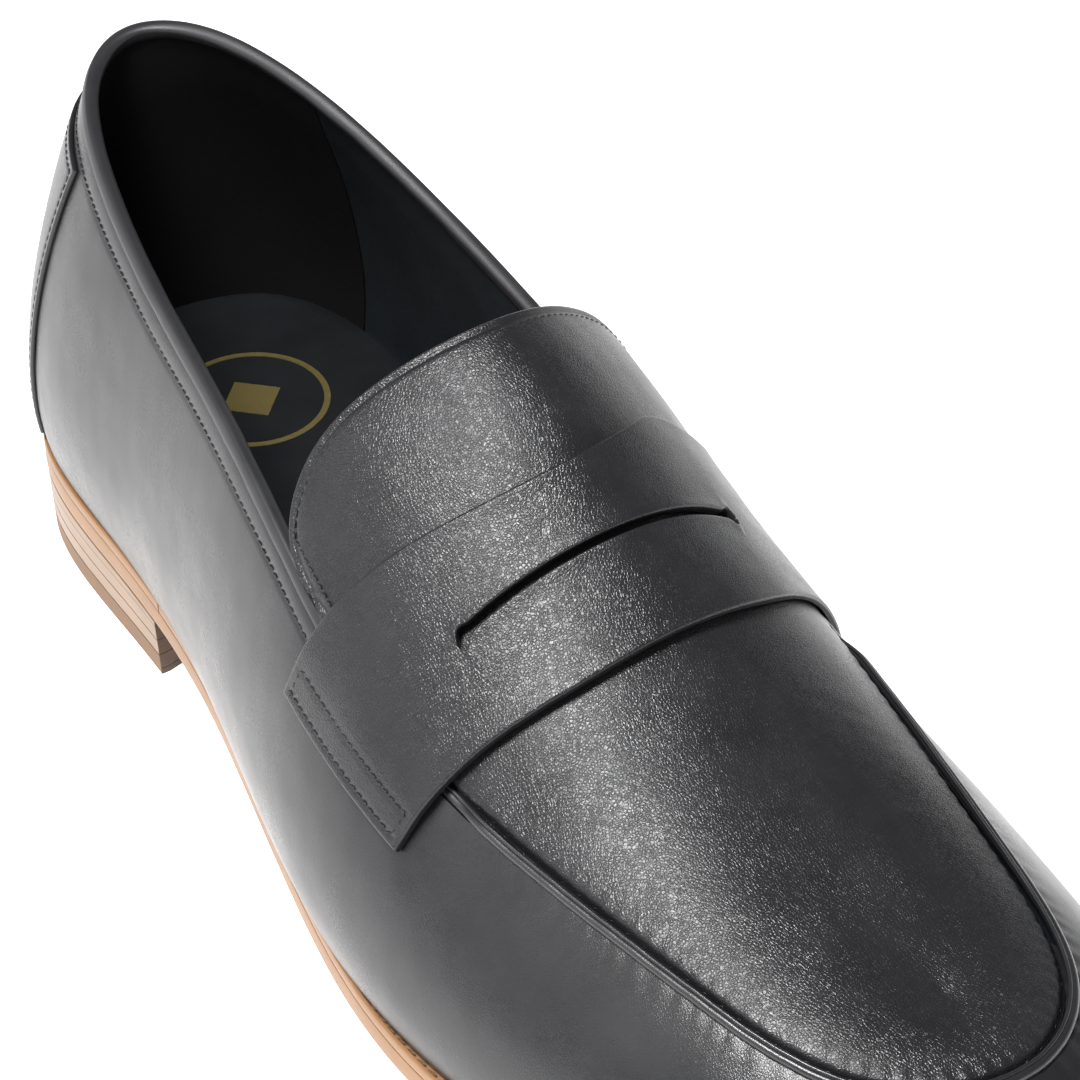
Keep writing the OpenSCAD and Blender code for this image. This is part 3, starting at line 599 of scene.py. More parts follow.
def thread_finish(name, color):
    """Waxed thread: two plies that wind round each other."""
    s = Shader(name)
    wind = s.noise(2600.0, 2.0, 0.5)
    tone = s.blend(s.span(wind, 0.35, 0.65), tuple(c * 0.45 for c in color), color)
    return s.finish(tone, 0.5, s.relief(wind, 0.08, 0.9))


def cork_finish(name):
    """Granules of cork pressed together."""
    s = Shader(name)
    grain = s.cells(420.0)
    tone = s.blend(s.span(grain, 0.1, 0.7), (0.16, 0.09, 0.045), (0.52, 0.34, 0.19))
    return s.finish(tone, 0.85, s.relief(grain, 0.3, 0.9))


def make_materials(leather):
    """Every finish of the shoe, by a maker's name."""
    dark, light = tuple(leather.calf_dark), tuple(leather.calf_light)
    return {
        "calf": grained_leather("Calf", dark, light, leather.calf_roughness, leather.grain_size,
                                leather.grain_depth),
        "calf_smooth": grained_leather("CalfSmooth", dark, light, leather.calf_roughness - 0.02,
                                       leather.grain_size * 0.8, leather.grain_depth * 0.45),
        "cord": grained_leather("CordLeather", dark, light, 0.25, 0.5, 0.015, polish=0.65),
        "paint": cut_edge("EdgePaint", (0.008, 0.008, 0.009), 0.6),
        "binding": grained_leather("BindingLeather", (0.022, 0.022, 0.025), (0.034, 0.034, 0.038),
                                   0.46, 0.5, 0.02),
        "lining": grained_leather("LiningLeather", (0.009, 0.012, 0.015), (0.014, 0.018, 0.022),
                                  0.5, 0.6, 0.03, polish=0.1),
        # Sock liner: a dark lining leather made darker still and less glossy; the extra darkness is painted
        # shade of the shoe's dim inside
        "sock": grained_leather("SockLeatherPaintedShade", (0.004, 0.005, 0.006), (0.007, 0.009, 0.011),
                                0.6, 0.6, 0.03, level=0.35, polish=0.0),
        "suede": plain_grained("HeelSuede", (0.008, 0.008, 0.009), 0.9, 2400.0, 0.12, level=0.15),
        "tan": sole_leather("SoleLeather", (0.27, 0.13, 0.052), (0.38, 0.2, 0.09), 0.42),
        "stack": sole_leather("StackedLeather", (0.25, 0.15, 0.09), (0.36, 0.235, 0.15), 0.4, 3.4,
                              (0.13, 0.07, 0.035)),
        "breast": sole_leather("HeelBreast", (0.05, 0.024, 0.011), (0.085, 0.04, 0.018), 0.45, 3.4,
                               (0.02, 0.01, 0.005)),
        "rubber": plain_grained("TopRubber", (0.24, 0.125, 0.055), 0.6, 1300.0, 0.06),
        "gold": plain_grained("GoldFoil", (0.62, 0.5, 0.2), 0.5, 3000.0, 0.01, 1.0, 0.5, 0.15),
        "brass": plain_grained("NailBrass", (0.62, 0.45, 0.18), 0.4, 1500.0, 0.02, 1.0),
        "steel": plain_grained("ShankSteel", (0.4, 0.42, 0.45), 0.38, 700.0, 0.02, 1.0),
        "thread": thread_finish("BlackThread", (0.02, 0.02, 0.022)),
        "welt_thread": thread_finish("WeltThread", (0.19, 0.095, 0.04)),
        "cork": cork_finish("Cork"),
        "board": plain_grained("FibreBoard", (0.42, 0.3, 0.19), 0.75, 600.0, 0.08),
        "stiffener": plain_grained("Stiffener", (0.35, 0.33, 0.3), 0.7, 500.0, 0.05),
        "puff": plain_grained("ToePuff", (0.02, 0.02, 0.022), 0.7, 500.0, 0.05),
        "foam": plain_grained("Foam", (0.12, 0.12, 0.13), 0.9, 1800.0, 0.2),
    }


FINISH = {}


# ---------------------------------------------------------------------------
# Geometry Nodes: stitches, the seam's cord and the heel nails
# ---------------------------------------------------------------------------
def new_tree(name, sockets):
    """An empty geometry tree with named inputs; returns it with its two end nodes."""
    tree = bpy.data.node_groups.new(name, "GeometryNodeTree")
    for label, kind, default in sockets:
        socket = tree.interface.new_socket(label, in_out="INPUT", socket_type=kind)
        if default is not None:
            socket.default_value = default
    tree.interface.new_socket("Geometry", in_out="OUTPUT", socket_type="NodeSocketGeometry")
    return tree, tree.nodes.new("NodeGroupInput"), tree.nodes.new("NodeGroupOutput")


def chain(tree, kind, props=None, **inputs):
    """Adds a node, sets its properties and fills its inputs with sockets or values."""
    node = tree.nodes.new(kind)
    for key, value in (props or {}).items():
        setattr(node, key, value)
    for key, value in inputs.items():
        socket = node.inputs[key.replace("_", " ")]
        if isinstance(value, bpy.types.NodeSocket):
            tree.links.new(value, socket)
        else:
            socket.default_value = value
    return node


def end_tree(tree, last, material, result, round_faces=True):
    """Ends a tree: makes real meshes of instances, shades them smooth if round, and paints them."""
    last = chain(tree, "GeometryNodeRealizeInstances", Geometry=last.outputs[0])
    if round_faces:
        last = chain(tree, "GeometryNodeSetShadeSmooth", Geometry=last.outputs[0])
    last = chain(tree, "GeometryNodeSetMaterial", Geometry=last.outputs[0], Material=material)
    tree.links.new(last.outputs[0], result.inputs[0])
    return tree


def stitch_tree():
    """Threads of equal pitch along guide lines whose points know their outward direction."""
    tree, given, result = new_tree("StitchRow", [
        ("Geometry", "NodeSocketGeometry", None), ("Pitch", "NodeSocketFloat", 0.0028),
        ("Length", "NodeSocketFloat", 0.0022), ("Thickness", "NodeSocketFloat", 0.0006),
        ("Lift", "NodeSocketFloat", 0.0001), ("Slant", "NodeSocketFloat", 0.1),
        ("Seed", "NodeSocketInt", 3), ("Material", "NodeSocketMaterial", None)])
    g = given.outputs
    line = chain(tree, "GeometryNodeMeshToCurve", Mesh=g["Geometry"])
    line = chain(tree, "GeometryNodeResampleCurve", {"mode": "LENGTH"}, Curve=line.outputs[0],
                 Length=g["Pitch"])
    out = chain(tree, "GeometryNodeInputNamedAttribute", {"data_type": "FLOAT_VECTOR"}, Name="out")
    rise = chain(tree, "ShaderNodeVectorMath", {"operation": "SCALE"}, Scale=g["Lift"])
    tree.links.new(out.outputs["Attribute"], rise.inputs[0])
    raised = chain(tree, "GeometryNodeSetPosition", Geometry=line.outputs[0], Offset=rise.outputs[0])
    bead = chain(tree, "GeometryNodeMeshUVSphere", Segments=8, Rings=6, Radius=0.5)
    size = chain(tree, "ShaderNodeCombineXYZ", X=g["Length"], Y=g["Thickness"], Z=g["Thickness"])
    bead = chain(tree, "GeometryNodeTransform", Geometry=bead.outputs["Mesh"], Scale=size.outputs[0])
    tangent = chain(tree, "GeometryNodeInputTangent")
    turn = chain(tree, "FunctionNodeAxesToRotation", {"primary_axis": "Z", "secondary_axis": "X"},
                 Primary_Axis=out.outputs["Attribute"], Secondary_Axis=tangent.outputs[0])
    jitter = chain(tree, "FunctionNodeRandomValue", {"data_type": "FLOAT"}, Seed=g["Seed"])
    jitter.inputs[2].default_value = -0.05
    jitter.inputs[3].default_value = 0.05
    slant = chain(tree, "ShaderNodeMath", {"operation": "ADD"})
    tree.links.new(jitter.outputs[1], slant.inputs[0])
    tree.links.new(g["Slant"], slant.inputs[1])
    yaw = chain(tree, "ShaderNodeCombineXYZ", Z=slant.outputs[0])
    yaw = chain(tree, "FunctionNodeEulerToRotation", Euler=yaw.outputs[0])
    turned = chain(tree, "FunctionNodeRotateRotation", {"rotation_space": "LOCAL"},
                   Rotation=turn.outputs[0], Rotate_By=yaw.outputs[0])
    laid = chain(tree, "GeometryNodeInstanceOnPoints", Points=raised.outputs[0],
                 Instance=bead.outputs[0], Rotation=turned.outputs[0])
    return end_tree(tree, laid, g["Material"], result)


def cord_tree():
    """A round cord of one radius that follows guide lines."""
    tree, given, result = new_tree("SeamCord", [
        ("Geometry", "NodeSocketGeometry", None), ("Radius", "NodeSocketFloat", 0.001),
        ("Sides", "NodeSocketInt", 16), ("Material", "NodeSocketMaterial", None)])
    g = given.outputs
    line = chain(tree, "GeometryNodeMeshToCurve", Mesh=g["Geometry"])
    ring = chain(tree, "GeometryNodeCurvePrimitiveCircle", Resolution=g["Sides"], Radius=g["Radius"])
    swept = chain(tree, "GeometryNodeCurveToMesh", Curve=line.outputs[0],
                  Profile_Curve=ring.outputs[0], Fill_Caps=True)
    return end_tree(tree, swept, g["Material"], result)


def nail_tree():
    """Brass nails that stand on guide points."""
    tree, given, result = new_tree("HeelNails", [
        ("Geometry", "NodeSocketGeometry", None), ("Radius", "NodeSocketFloat", 0.0009),
        ("Length", "NodeSocketFloat", 0.009), ("Material", "NodeSocketMaterial", None)])
    g = given.outputs
    shank = chain(tree, "GeometryNodeMeshCylinder", {"fill_type": "NGON"}, Vertices=20,
                  Radius=g["Radius"], Depth=g["Length"])
    half = chain(tree, "ShaderNodeMath", {"operation": "MULTIPLY"})
    tree.links.new(g["Length"], half.inputs[0])
    half.inputs[1].default_value = 0.5
    lift = chain(tree, "ShaderNodeCombineXYZ", Z=half.outputs[0])
    shank = chain(tree, "GeometryNodeTransform", Geometry=shank.outputs["Mesh"],
                  Translation=lift.outputs[0])
    laid = chain(tree, "GeometryNodeInstanceOnPoints", Points=g["Geometry"], Instance=shank.outputs[0])
    return end_tree(tree, laid, g["Material"], result, round_faces=False)


def guide_object(name, lines):
    """Guide lines as a mesh of edges: lines is a list of (points in mm, outward directions)."""
    points = np.concatenate([p for p, _ in lines]) * MM
    outs = np.concatenate([o for _, o in lines])
    edges, start = [], 0
    for p, _ in lines:
        edges += [(start + i, start + i + 1) for i in range(len(p) - 1)]
        start += len(p)
    mesh = bpy.data.meshes.new(name)
    mesh.from_pydata(points.tolist(), edges, [])
    layer = mesh.attributes.new("out", "FLOAT_VECTOR", "POINT")
    layer.data.foreach_set("vector", outs.astype(float).ravel())
    obj = bpy.data.objects.new(name, mesh)
    bpy.context.scene.collection.objects.link(obj)
    return obj


def baked(name, guide, tree, **inputs):
    """Runs a tree on a guide and leaves its result as a plain mesh piece."""
    modifier = guide.modifiers.new("Nodes", "NODES")
    modifier.node_group = tree
    for item in tree.interface.items_tree:
        if item.in_out == "INPUT" and item.name in inputs:
            modifier[item.identifier] = inputs[item.name]
    graph = bpy.context.evaluated_depsgraph_get()
    graph.update()
    mesh = bpy.data.meshes.new_from_object(guide.evaluated_get(graph))
    guide.modifiers.remove(modifier)
    mesh.name = name
    obj = bpy.data.objects.new(name, mesh)
    bpy.context.scene.collection.objects.link(obj)
    bpy.data.objects.remove(guide)
    return obj


TREES = {}


def stitched(node, lines, shape, thread="thread", slot="black_thread", length=None, lift=0.0, slant=0.1):
    """One piece of stitching along guide lines; lift and length are in mm."""
    stitch = length or shape.stitch_length
    obj = baked(node, guide_object(node + "_guide", lines), TREES["stitch"],
                Pitch=shape.stitch_pitch * MM * stitch / shape.stitch_length, Length=stitch * MM,
                Thickness=shape.thread_thickness * MM, Lift=lift * MM, Slant=slant,
                Seed=len(node), Material=FINISH[thread])
    return keep(obj, slot, node)


# ---------------------------------------------------------------------------
# Upper
# ---------------------------------------------------------------------------
LEATHER_T, STIFFENER_T, LINING_T, GAP = 1.3, 0.7, 1.0, 0.1
LINING_OUT = -LEATHER_T - STIFFENER_T - 2 * GAP
LINING_IN = LINING_OUT - LINING_T
LINING_BASE = LEATHER_T + GAP
RIM_OUT, RIM_IN = -1.35, -1.95
MARGIN = 13.0
SEAM_FROM = 6.0
SEAM_TO = ROWS - SEAM_FROM
THROAT = 19 / 3
TOPLINE_ROW = 5.4


def foot_path(t, h, z):
    """Margin under the foot: four points, from its inner edge out to the feather line."""
    rows = []
    for inset in (MARGIN, MARGIN / 2, -h + 0.5, -h):
        p = plan_at(t, np.full(t.shape, inset))
        rows.append(to_plan(p, sole_z(p[..., 0]) + SOLE_T + z))
    return np.stack(rows, 1)


def seam_side(t):
    """1 where the edge is the raised seam, 0 where it is the topline."""
    t = t % ROWS
    return smooth((t - SEAM_FROM + 0.05) / 0.1) * smooth((SEAM_TO + 0.05 - t) / 0.1)


def wall_points(t, down, set_back):
    """Heights up the wall, for rows given as distances down from its top edge and a base share."""
    top = edge_u(t) - in_u(t, edge_u(t), set_back)
    step = in_u(t, edge_u(t), 1.0)
    near = top[:, None] - step[:, None] * down[None, ::-1]
    low = near[:, :1]
    share = np.linspace(0.03, 1, 44)[None, :-1]
    return np.concatenate([low * share, near], 1)


def make_skirt(shape):
    """The outer wall: one piece of calf from the heel seam round the toe and back."""
    t = np.linspace(0.004, ROWS - 0.004, 620)
    down = np.concatenate([np.arange(0, 8.2, 0.4), [9.5, 11]])
    seam = seam_side(t)
    u = wall_points(t, down, 0.4 + seam * (shape.cord_radius - 0.15))
    grid_t = np.broadcast_to(t[:, None], u.shape)
    base = on_last(grid_t, u)
    depth = (edge_u(t)[:, None] - u) / in_u(t, edge_u(t), 1.0)[:, None]
    swell = 0.16 * ripple(base, 34, 5) + 0.05 * ripple(base, 9, 6)
    swell *= smooth(depth / 6) * smooth(u / 0.12)
    row = -0.16 * bell(depth - TOPLINE_ROW, 0.55) * (1 - seam)[:, None]
    rim = 0.12 * bell(depth - 3.2, 1.4) * (1 - seam)[:, None]
    angle = 2 * math.pi * np.cumsum(np.r_[0, np.linalg.norm(np.diff(base[:, -1], axis=0), axis=-1)])
    pucker = 0.07 * np.sin(angle / 4.1 + 1.4 * np.sin(angle / 23))[:, None] * bell(depth - 1.5, 3.0)
    outer = on_last(grid_t, u, swell + row + rim + pucker * seam[:, None])
    inner = on_last(grid_t, u, np.full(u.shape, -LEATHER_T))
    outer = np.concatenate([foot_path(t, 0 * t, 0.0), outer], 1)
    inner = np.concatenate([foot_path(t, 0 * t - LEATHER_T, LEATHER_T), inner], 1)
    obj = sheet_object("skirt", outer, inner, [FINISH["calf_smooth"], FINISH["paint"]])
    return keep(obj, "upper_leather", "skirt")


def seam_gap(shape):
    """Distance from the seam's line to the apron's edge."""
    return shape.cord_radius + 0.02


def make_apron(shape):
    """The plug over the toes, pulled down into the raised seam."""
    t = THROAT + 0.01 + (10 - THROAT - 0.01) * np.linspace(0, 1, 190) ** 0.92
    w = cosine(171)
    lo = edge_u(t) + in_u(t, edge_u(t), seam_gap(shape))
    far = 6 - edge_u(ROWS - t)
    hi = far - in_u(t, far, seam_gap(shape))
    u = lo[:, None] + (hi - lo)[:, None] * w[None]
    grid_t = np.broadcast_to(t[:, None], u.shape)
    base = on_last(grid_t, u)
    chord = np.linalg.norm(np.diff(base, axis=1), axis=-1)
    left = np.concatenate([np.zeros((len(t), 1)), np.cumsum(chord, 1)], 1)
    right = left[:, -1:] - left
    near = np.minimum(left, right)
    run = np.concatenate([[0], np.cumsum(np.linalg.norm(np.diff(base[:, 0], axis=0), axis=-1))])
    pucker = 0.09 * np.sin(2 * math.pi * run / 3.4)[:, None] * bell(near - 1.2, 2.4)
    swell = (0.2 * ripple(base, 30, 11) + 0.06 * ripple(base, 8, 12)) * smooth(near / 5)
    ahead = base[..., 0] - base[..., 0].min()
    folds = sum(a * bell(ahead - c - b * np.sin(base[..., 1] / 17 + p) - 0.012 * base[..., 1] ** 2, s)
                for a, c, b, p, s in ((-0.16, 20, 1.4, 0.3, 1.3), (-0.13, 26, 1.2, 1.6, 1.1),
                                      (-0.11, 33, 1.8, 2.6, 1.2), (-0.09, 41, 1.5, 0.9, 1.0)))
    folds *= smooth((near - 6) / 14) * (0.4 + 0.4 * ripple(base, 26, 14))
    drop = -1.05 * bell(near, 1.1)
    outer = on_last(grid_t, u, swell + folds + pucker + drop)
    inner = on_last(grid_t, u, np.full(u.shape, -LEATHER_T))
    obj = sheet_object("apron", outer, inner, [FINISH["calf"], FINISH["paint"]], fold=True)
    return keep(obj, "upper_leather", "apron")


TONGUE_TIP, TONGUE_SIDE, TONGUE_ROUND = 4.66, 5.3, 4


def tongue_place(w, f, rise, gap=0.3):
    """Station and height of a point of the tongue: w across, f from its tip to the throat."""
    a = TONGUE_SIDE - (TONGUE_SIDE - TONGUE_TIP) * np.maximum(
        1 - np.abs(2 * w - 1) ** TONGUE_ROUND, 0) ** (1 / TONGUE_ROUND)
    t = a + (THROAT - 0.01 - a) * f
    lo, hi = edge_u(t), 6 - edge_u(ROWS - t)
    wide = 1.4 - (1.4 - gap) * smooth((6.0 - t) / 0.9)
    lo, hi = lo + in_u(t, lo, wide), hi - in_u(t, hi, wide)
    return t, lo + (hi - lo) * w, rise * (1 - f)


def make_tongue(shape):
    """The tongue and its lining: a rounded tip, a raw edge and a row of stitches inside it."""
    w = cosine(181)[None]
    f = (np.linspace(0, 1, 96) ** 1.35)[:, None]
    w, f = np.broadcast_arrays(w, f)
    t, u, rise = tongue_place(w, f, shape.tongue_rise)
    base = on_last(t, u, rise)
    rim = np.concatenate([base[:, 0][::-1], base[0], base[:, -1]])
    near = np.stack([np.linalg.norm(row[:, None] - rim[None], axis=-1).min(-1) for row in base])
    swell = (0.15 * ripple(base, 24, 21) + 0.05 * ripple(base, 7, 22)) * smooth(near / 4)
    drop = round_over(near, 0.4) - 0.3 * bell(near - shape.tongue_row, 0.5)
    outer = on_last(t, u, rise + swell + drop)
    inner = on_last(t, u, rise - LEATHER_T)
    obj = sheet_object("tongue", outer, inner, [FINISH["calf"], FINISH["paint"]])
    keep(obj, "upper_leather", "tongue")
    low = on_last(t, u, rise - LEATHER_T - GAP)
    under = on_last(t, u, rise - LEATHER_T - GAP - LINING_T)
    lining = sheet_object("tongue_lining", low[::2, ::2], under[::2, ::2],
                          [FINISH["lining"], FINISH["paint"]])
    keep(lining, "lining_leather", "tongue_lining")
    s = cosine(121)
    v = 0.5 + (s - 0.5) * (1 - 0.038)
    t, u, rise = tongue_place(v, 0.043 + 0 * v, shape.tongue_rise)
    side_t = np.linspace(t[0], 5.62, 12)[1:]
    lo = edge_u(side_t)
    side_u = lo + (u[0] - edge_u(t[0]))
    path_t = np.concatenate([side_t[::-1], t, side_t * 0 + t[-1]])[:len(side_t) + len(t)]
    path_u = np.concatenate([side_u[::-1], u])
    h = np.full(path_t.shape, shape.tongue_rise * 0.93)
    stitched("tongue_stitching", [(on_last(path_t, path_u, h), outward(path_t, path_u))], shape,
             lift=-0.06)


STRAP_REAR = (5.58, -0.078, -0.088)
STRAP_FRONT = (6.72, -0.018, -0.09)
SLOT_LINE = (6.07, 0.006, 0.002)
INNER_NARROWING = 0.28
STRAP_LO, STRAP_HI = 0.74, 5.59
SLOT_LO, SLOT_HI = 1.6, 4.2
RISE_U = 0.26
STATION_MM = 25.0


def parabola(line, u):
    """Station of a line across the instep, given by its place, slope and bend on the ridge."""
    return line[0] + line[1] * (u - 3) + line[2] * (u - 3) ** 2


def strap_rear(u):
    """Rear edge of the strap, which runs forward on the inner side so that both ends match."""
    return parabola(STRAP_REAR, u) + INNER_NARROWING * smooth(u - 3.7)


def strap_thick(u, thick):
    """The strap is skived a little where it turns down over the inner seam."""
    return thick * (1 - 0.3 * smooth((u - 4.1) / 0.5))


def strap_gap(u, rise):
    """Gap under the strap: it lies on the wall at its ends and bridges the tongue and the seams."""
    ends = smooth((u - STRAP_LO) / RISE_U) * smooth((STRAP_HI - u) / RISE_U)
    return 0.1 + (rise - 0.1) * ends * (1 - 0.8 * smooth((u - 3.5) / 0.8))


def slot_centre(u):
    """Middle line of the slot, which hooks forward at both ends."""
    hook = 0.035 * smooth(1 - (u - SLOT_LO) / 0.1) + 0.012 * smooth(1 - (SLOT_HI - u) / 0.1)
    return parabola(SLOT_LINE, u) + hook * ((u > SLOT_LO - 0.05) & (u < SLOT_HI + 0.05))


def slot_half(u, width):
    """Half the slot's width in stations: widest near its ends, closed beyond them."""
    q = np.minimum(u - SLOT_LO, SLOT_HI - u)
    body = 0.8 + 0.8 * bell(q - 0.05, 0.05)
    return width / 2 / STATION_MM * (0.04 + 0.96 * body * np.sqrt(smooth(q / 0.035)))


def make_strap(shape):
    """The saddle strap with its curved slot, and the stitched boxes at its two ends."""
    inside = np.linspace(SLOT_LO, SLOT_HI, 200)
    close = cosine(19)[1:-1] * 0.1
    inside = np.sort(np.concatenate([inside, SLOT_LO + close, SLOT_HI - close]))
    u = np.concatenate([STRAP_LO + cosine(70)[:-1] * (SLOT_LO - STRAP_LO), inside,
                        SLOT_HI + cosine(70)[1:] * (STRAP_HI - SLOT_HI)])
    rear, front = strap_rear(u), parabola(STRAP_FRONT, u)
    centre, half = slot_centre(u), slot_half(u, shape.slot_width)
    w = cosine(27)
    back = rear[:, None] + (centre - half - rear)[:, None] * w[None]
    fore = (centre + half)[:, None] + (front - centre - half)[:, None] * w[None]
    t = np.concatenate([back, fore], 1).T
    grid_u = np.broadcast_to(u[None], t.shape)
    gap = strap_gap(grid_u, shape.strap_rise)
    thick = strap_thick(grid_u, shape.strap_thickness)
    flat = on_last(t, grid_u, gap)
    column = np.concatenate([np.zeros((1, len(u))),
                             np.cumsum(np.linalg.norm(np.diff(flat, axis=0), axis=-1), 0)])
    n = len(w)
    near = np.minimum(column, column[-1:] - column)
    cut = (u > SLOT_LO) & (u < SLOT_HI)
    slot_gap = np.where(np.arange(2 * n)[:, None] < n, column[n - 1] - column, column - column[n])
    near_slot = np.where(cut[None], slot_gap, 9.0)
    ends = np.cumsum(np.r_[0, np.linalg.norm(np.diff(flat[n], axis=0), axis=-1)])
    near_end = np.minimum(ends, ends[-1] - ends)[None]
    swell = (0.13 * ripple(flat, 26, 31) + 0.045 * ripple(flat, 7, 32)) * smooth(near / 3)
    curl = 0.22 * bell(near_slot, 1.6) + 0.12 * bell(near, 2.0) * smooth(near_end / 9)
    row = -0.16 * (bell(near_end - 1.7, 0.5) + bell(near_end - 6.6, 0.5)) * smooth((near - 1.2) / 0.6)
    drop = round_over(near, 0.5) + round_over(near_slot, 0.4) + round_over(near_end, 0.45) + row
    outer = on_last(t, grid_u, gap + thick + swell + curl + drop)
    tuck = -round_over(np.minimum(np.minimum(near, near_slot), near_end), 0.3)
    inner = on_last(t, grid_u, gap + tuck + 0.6 * curl)
    first, last = int(np.argmax(cut)), int(len(u) - 1 - np.argmax(cut[::-1]))
    obj = sheet_object("saddle_strap", outer, inner, [FINISH["calf"], FINISH["paint"]],
                       hole=(n - 1, n - 1, first, last - 1), sharp=60)
    keep(obj, "upper_leather", "saddle_strap", "strap_backing")
    lines = []
    for lo, hi in ((STRAP_LO, 1), (STRAP_HI, -1)):
        step = float(in_u(6.0, lo, 1.0)) * hi
        rows = [lo + step * d for d in (1.7, 6.6)]
        f = np.linspace(0.055, 0.945, 40)
        corner = []
        for k, v in enumerate(rows):
            r, e = strap_rear(v), parabola(STRAP_FRONT, v)
            g = f if k == 0 else f[::-1]
            corner.append(np.stack([r + (e - r) * g, np.full(g.shape, v)], -1))
        ring = np.concatenate([corner[0], corner[1], corner[0][:1]])
        fine = np.concatenate([np.linspace(a, b, 6, endpoint=False) for a, b in zip(ring[:-1], ring[1:])]
                              + [ring[-1:]])
        h = strap_gap(fine[:, 1], shape.strap_rise) + strap_thick(fine[:, 1], shape.strap_thickness)
        lines.append((on_last(fine[:, 0], fine[:, 1], h), outward(fine[:, 0], fine[:, 1])))
    stitched("strap_stitching", lines, shape, lift=-0.08)


def rim_frame(t):
    """Edge point, outward and upward directions along the topline or the seam."""
    u = edge_u(t)
    return on_last(t, u), outward(t, u), unit(upward(t, u))


def make_cord(shape):
    """The raised cord of the moccasin seam, swept along the edge of the skirt."""
    t = np.linspace(SEAM_FROM + 0.03, SEAM_TO - 0.03, 420)
    p, out, up = rim_frame(t)
    run = np.cumsum(np.r_[0, np.linalg.norm(np.diff(p, axis=0), axis=-1)])
    wave = 0.05 * np.sin(2 * math.pi * run / 17) + 0.03 * np.sin(2 * math.pi * run / 6.3)
    under_strap = 1 - smooth((np.minimum(t, ROWS - t) - 6.5) / 0.2)
    rise = shape.cord_rise - 1.0 * under_strap
    for name, shift, radius, lift in (("apron_piping", -0.25, shape.cord_radius, 0.0),
                                      ("seam_bead", shape.cord_radius - 0.15, shape.bead_radius, 0.42)):
        line = p + out * (rise + lift + 0.4 * wave)[:, None] + up * (shift + 0.5 * wave)[:, None]
        obj = baked(name, guide_object("cord_guide", [(line, out)]), TREES["cord"],
                    Radius=radius * MM, Sides=20, Material=FINISH["cord"])
        keep(obj, "upper_leather", *(["apron_piping"] if name == "apron_piping" else []))
    at = np.linspace(6.35, ROWS - 6.25, 360)
    u = edge_u(at)
    u = u + in_u(at, u, shape.cord_radius + 0.75)
    stitched("seam_stitching", [(on_last(at, u, np.full(at.shape, -0.95)), outward(at, u))], shape,
             slant=0.25)


def make_binding(shape):
    """The folded binding round the topline and the row of stitches under it."""
    t = np.linspace(-SEAM_FROM + 0.03, SEAM_FROM - 0.03, 420)
    p, _, _ = rim_frame(t)
    u = edge_u(t)
    low = u - in_u(t, u, 2.4)
    up = unit(on_last(t, u) - on_last(t, low))
    out = unit(np.cross(along(t, u), up))
    outer_h, top_h, inner_h = 0.55, 0.6, RIM_IN - 0.45
    arc = np.linspace(0, math.pi, 15)
    mid, half = (outer_h + inner_h) / 2, (outer_h - inner_h) / 2
    deep = shape.binding_depth
    crest = np.stack([mid + half * np.cos(arc), -0.5 + (top_h + 0.5) * np.sin(arc) ** 0.75], -1)
    lip = np.array([[outer_h * 0.25, -deep - 0.1], [outer_h * 0.8, -deep + 0.1], [outer_h, -deep + 0.5],
                    [outer_h + 0.08, -deep * 0.5]])
    inner_lip = np.array([[inner_h - 0.05, -deep * 0.5], [inner_h, -deep + 0.5],
                          [inner_h + 0.2, -deep + 0.1], [inner_h + 0.5, -deep]])
    hollow = np.array([[RIM_IN - 0.1, -deep], [RIM_IN - 0.1, 0.02], [0.1, 0.02], [0.1, -deep]])
    ring = np.concatenate([lip, crest, inner_lip, hollow])
    wave = 1 + 0.05 * ripple(p, 14, 41)[:, None, None]
    rings = p[:, None] + (out[:, None] * ring[None, :, :1] + up[:, None] * ring[None, :, 1:]) * wave
    obj = tube_object("topline_binding", rings, [FINISH["binding"]], sharp=70)
    keep(obj, "dark_leather", "topline_binding")
    lines = []
    for a, b in ((0.06, 5.42), (ROWS - 5.05, ROWS - 0.06)):
        at = np.linspace(a, b, 260)
        v = edge_u(at)
        v = v - in_u(at, v, TOPLINE_ROW)
        lines.append((on_last(at, v, np.full(at.shape, -0.1)), outward(at, v)))
    stitched("topline_stitching", lines, shape)


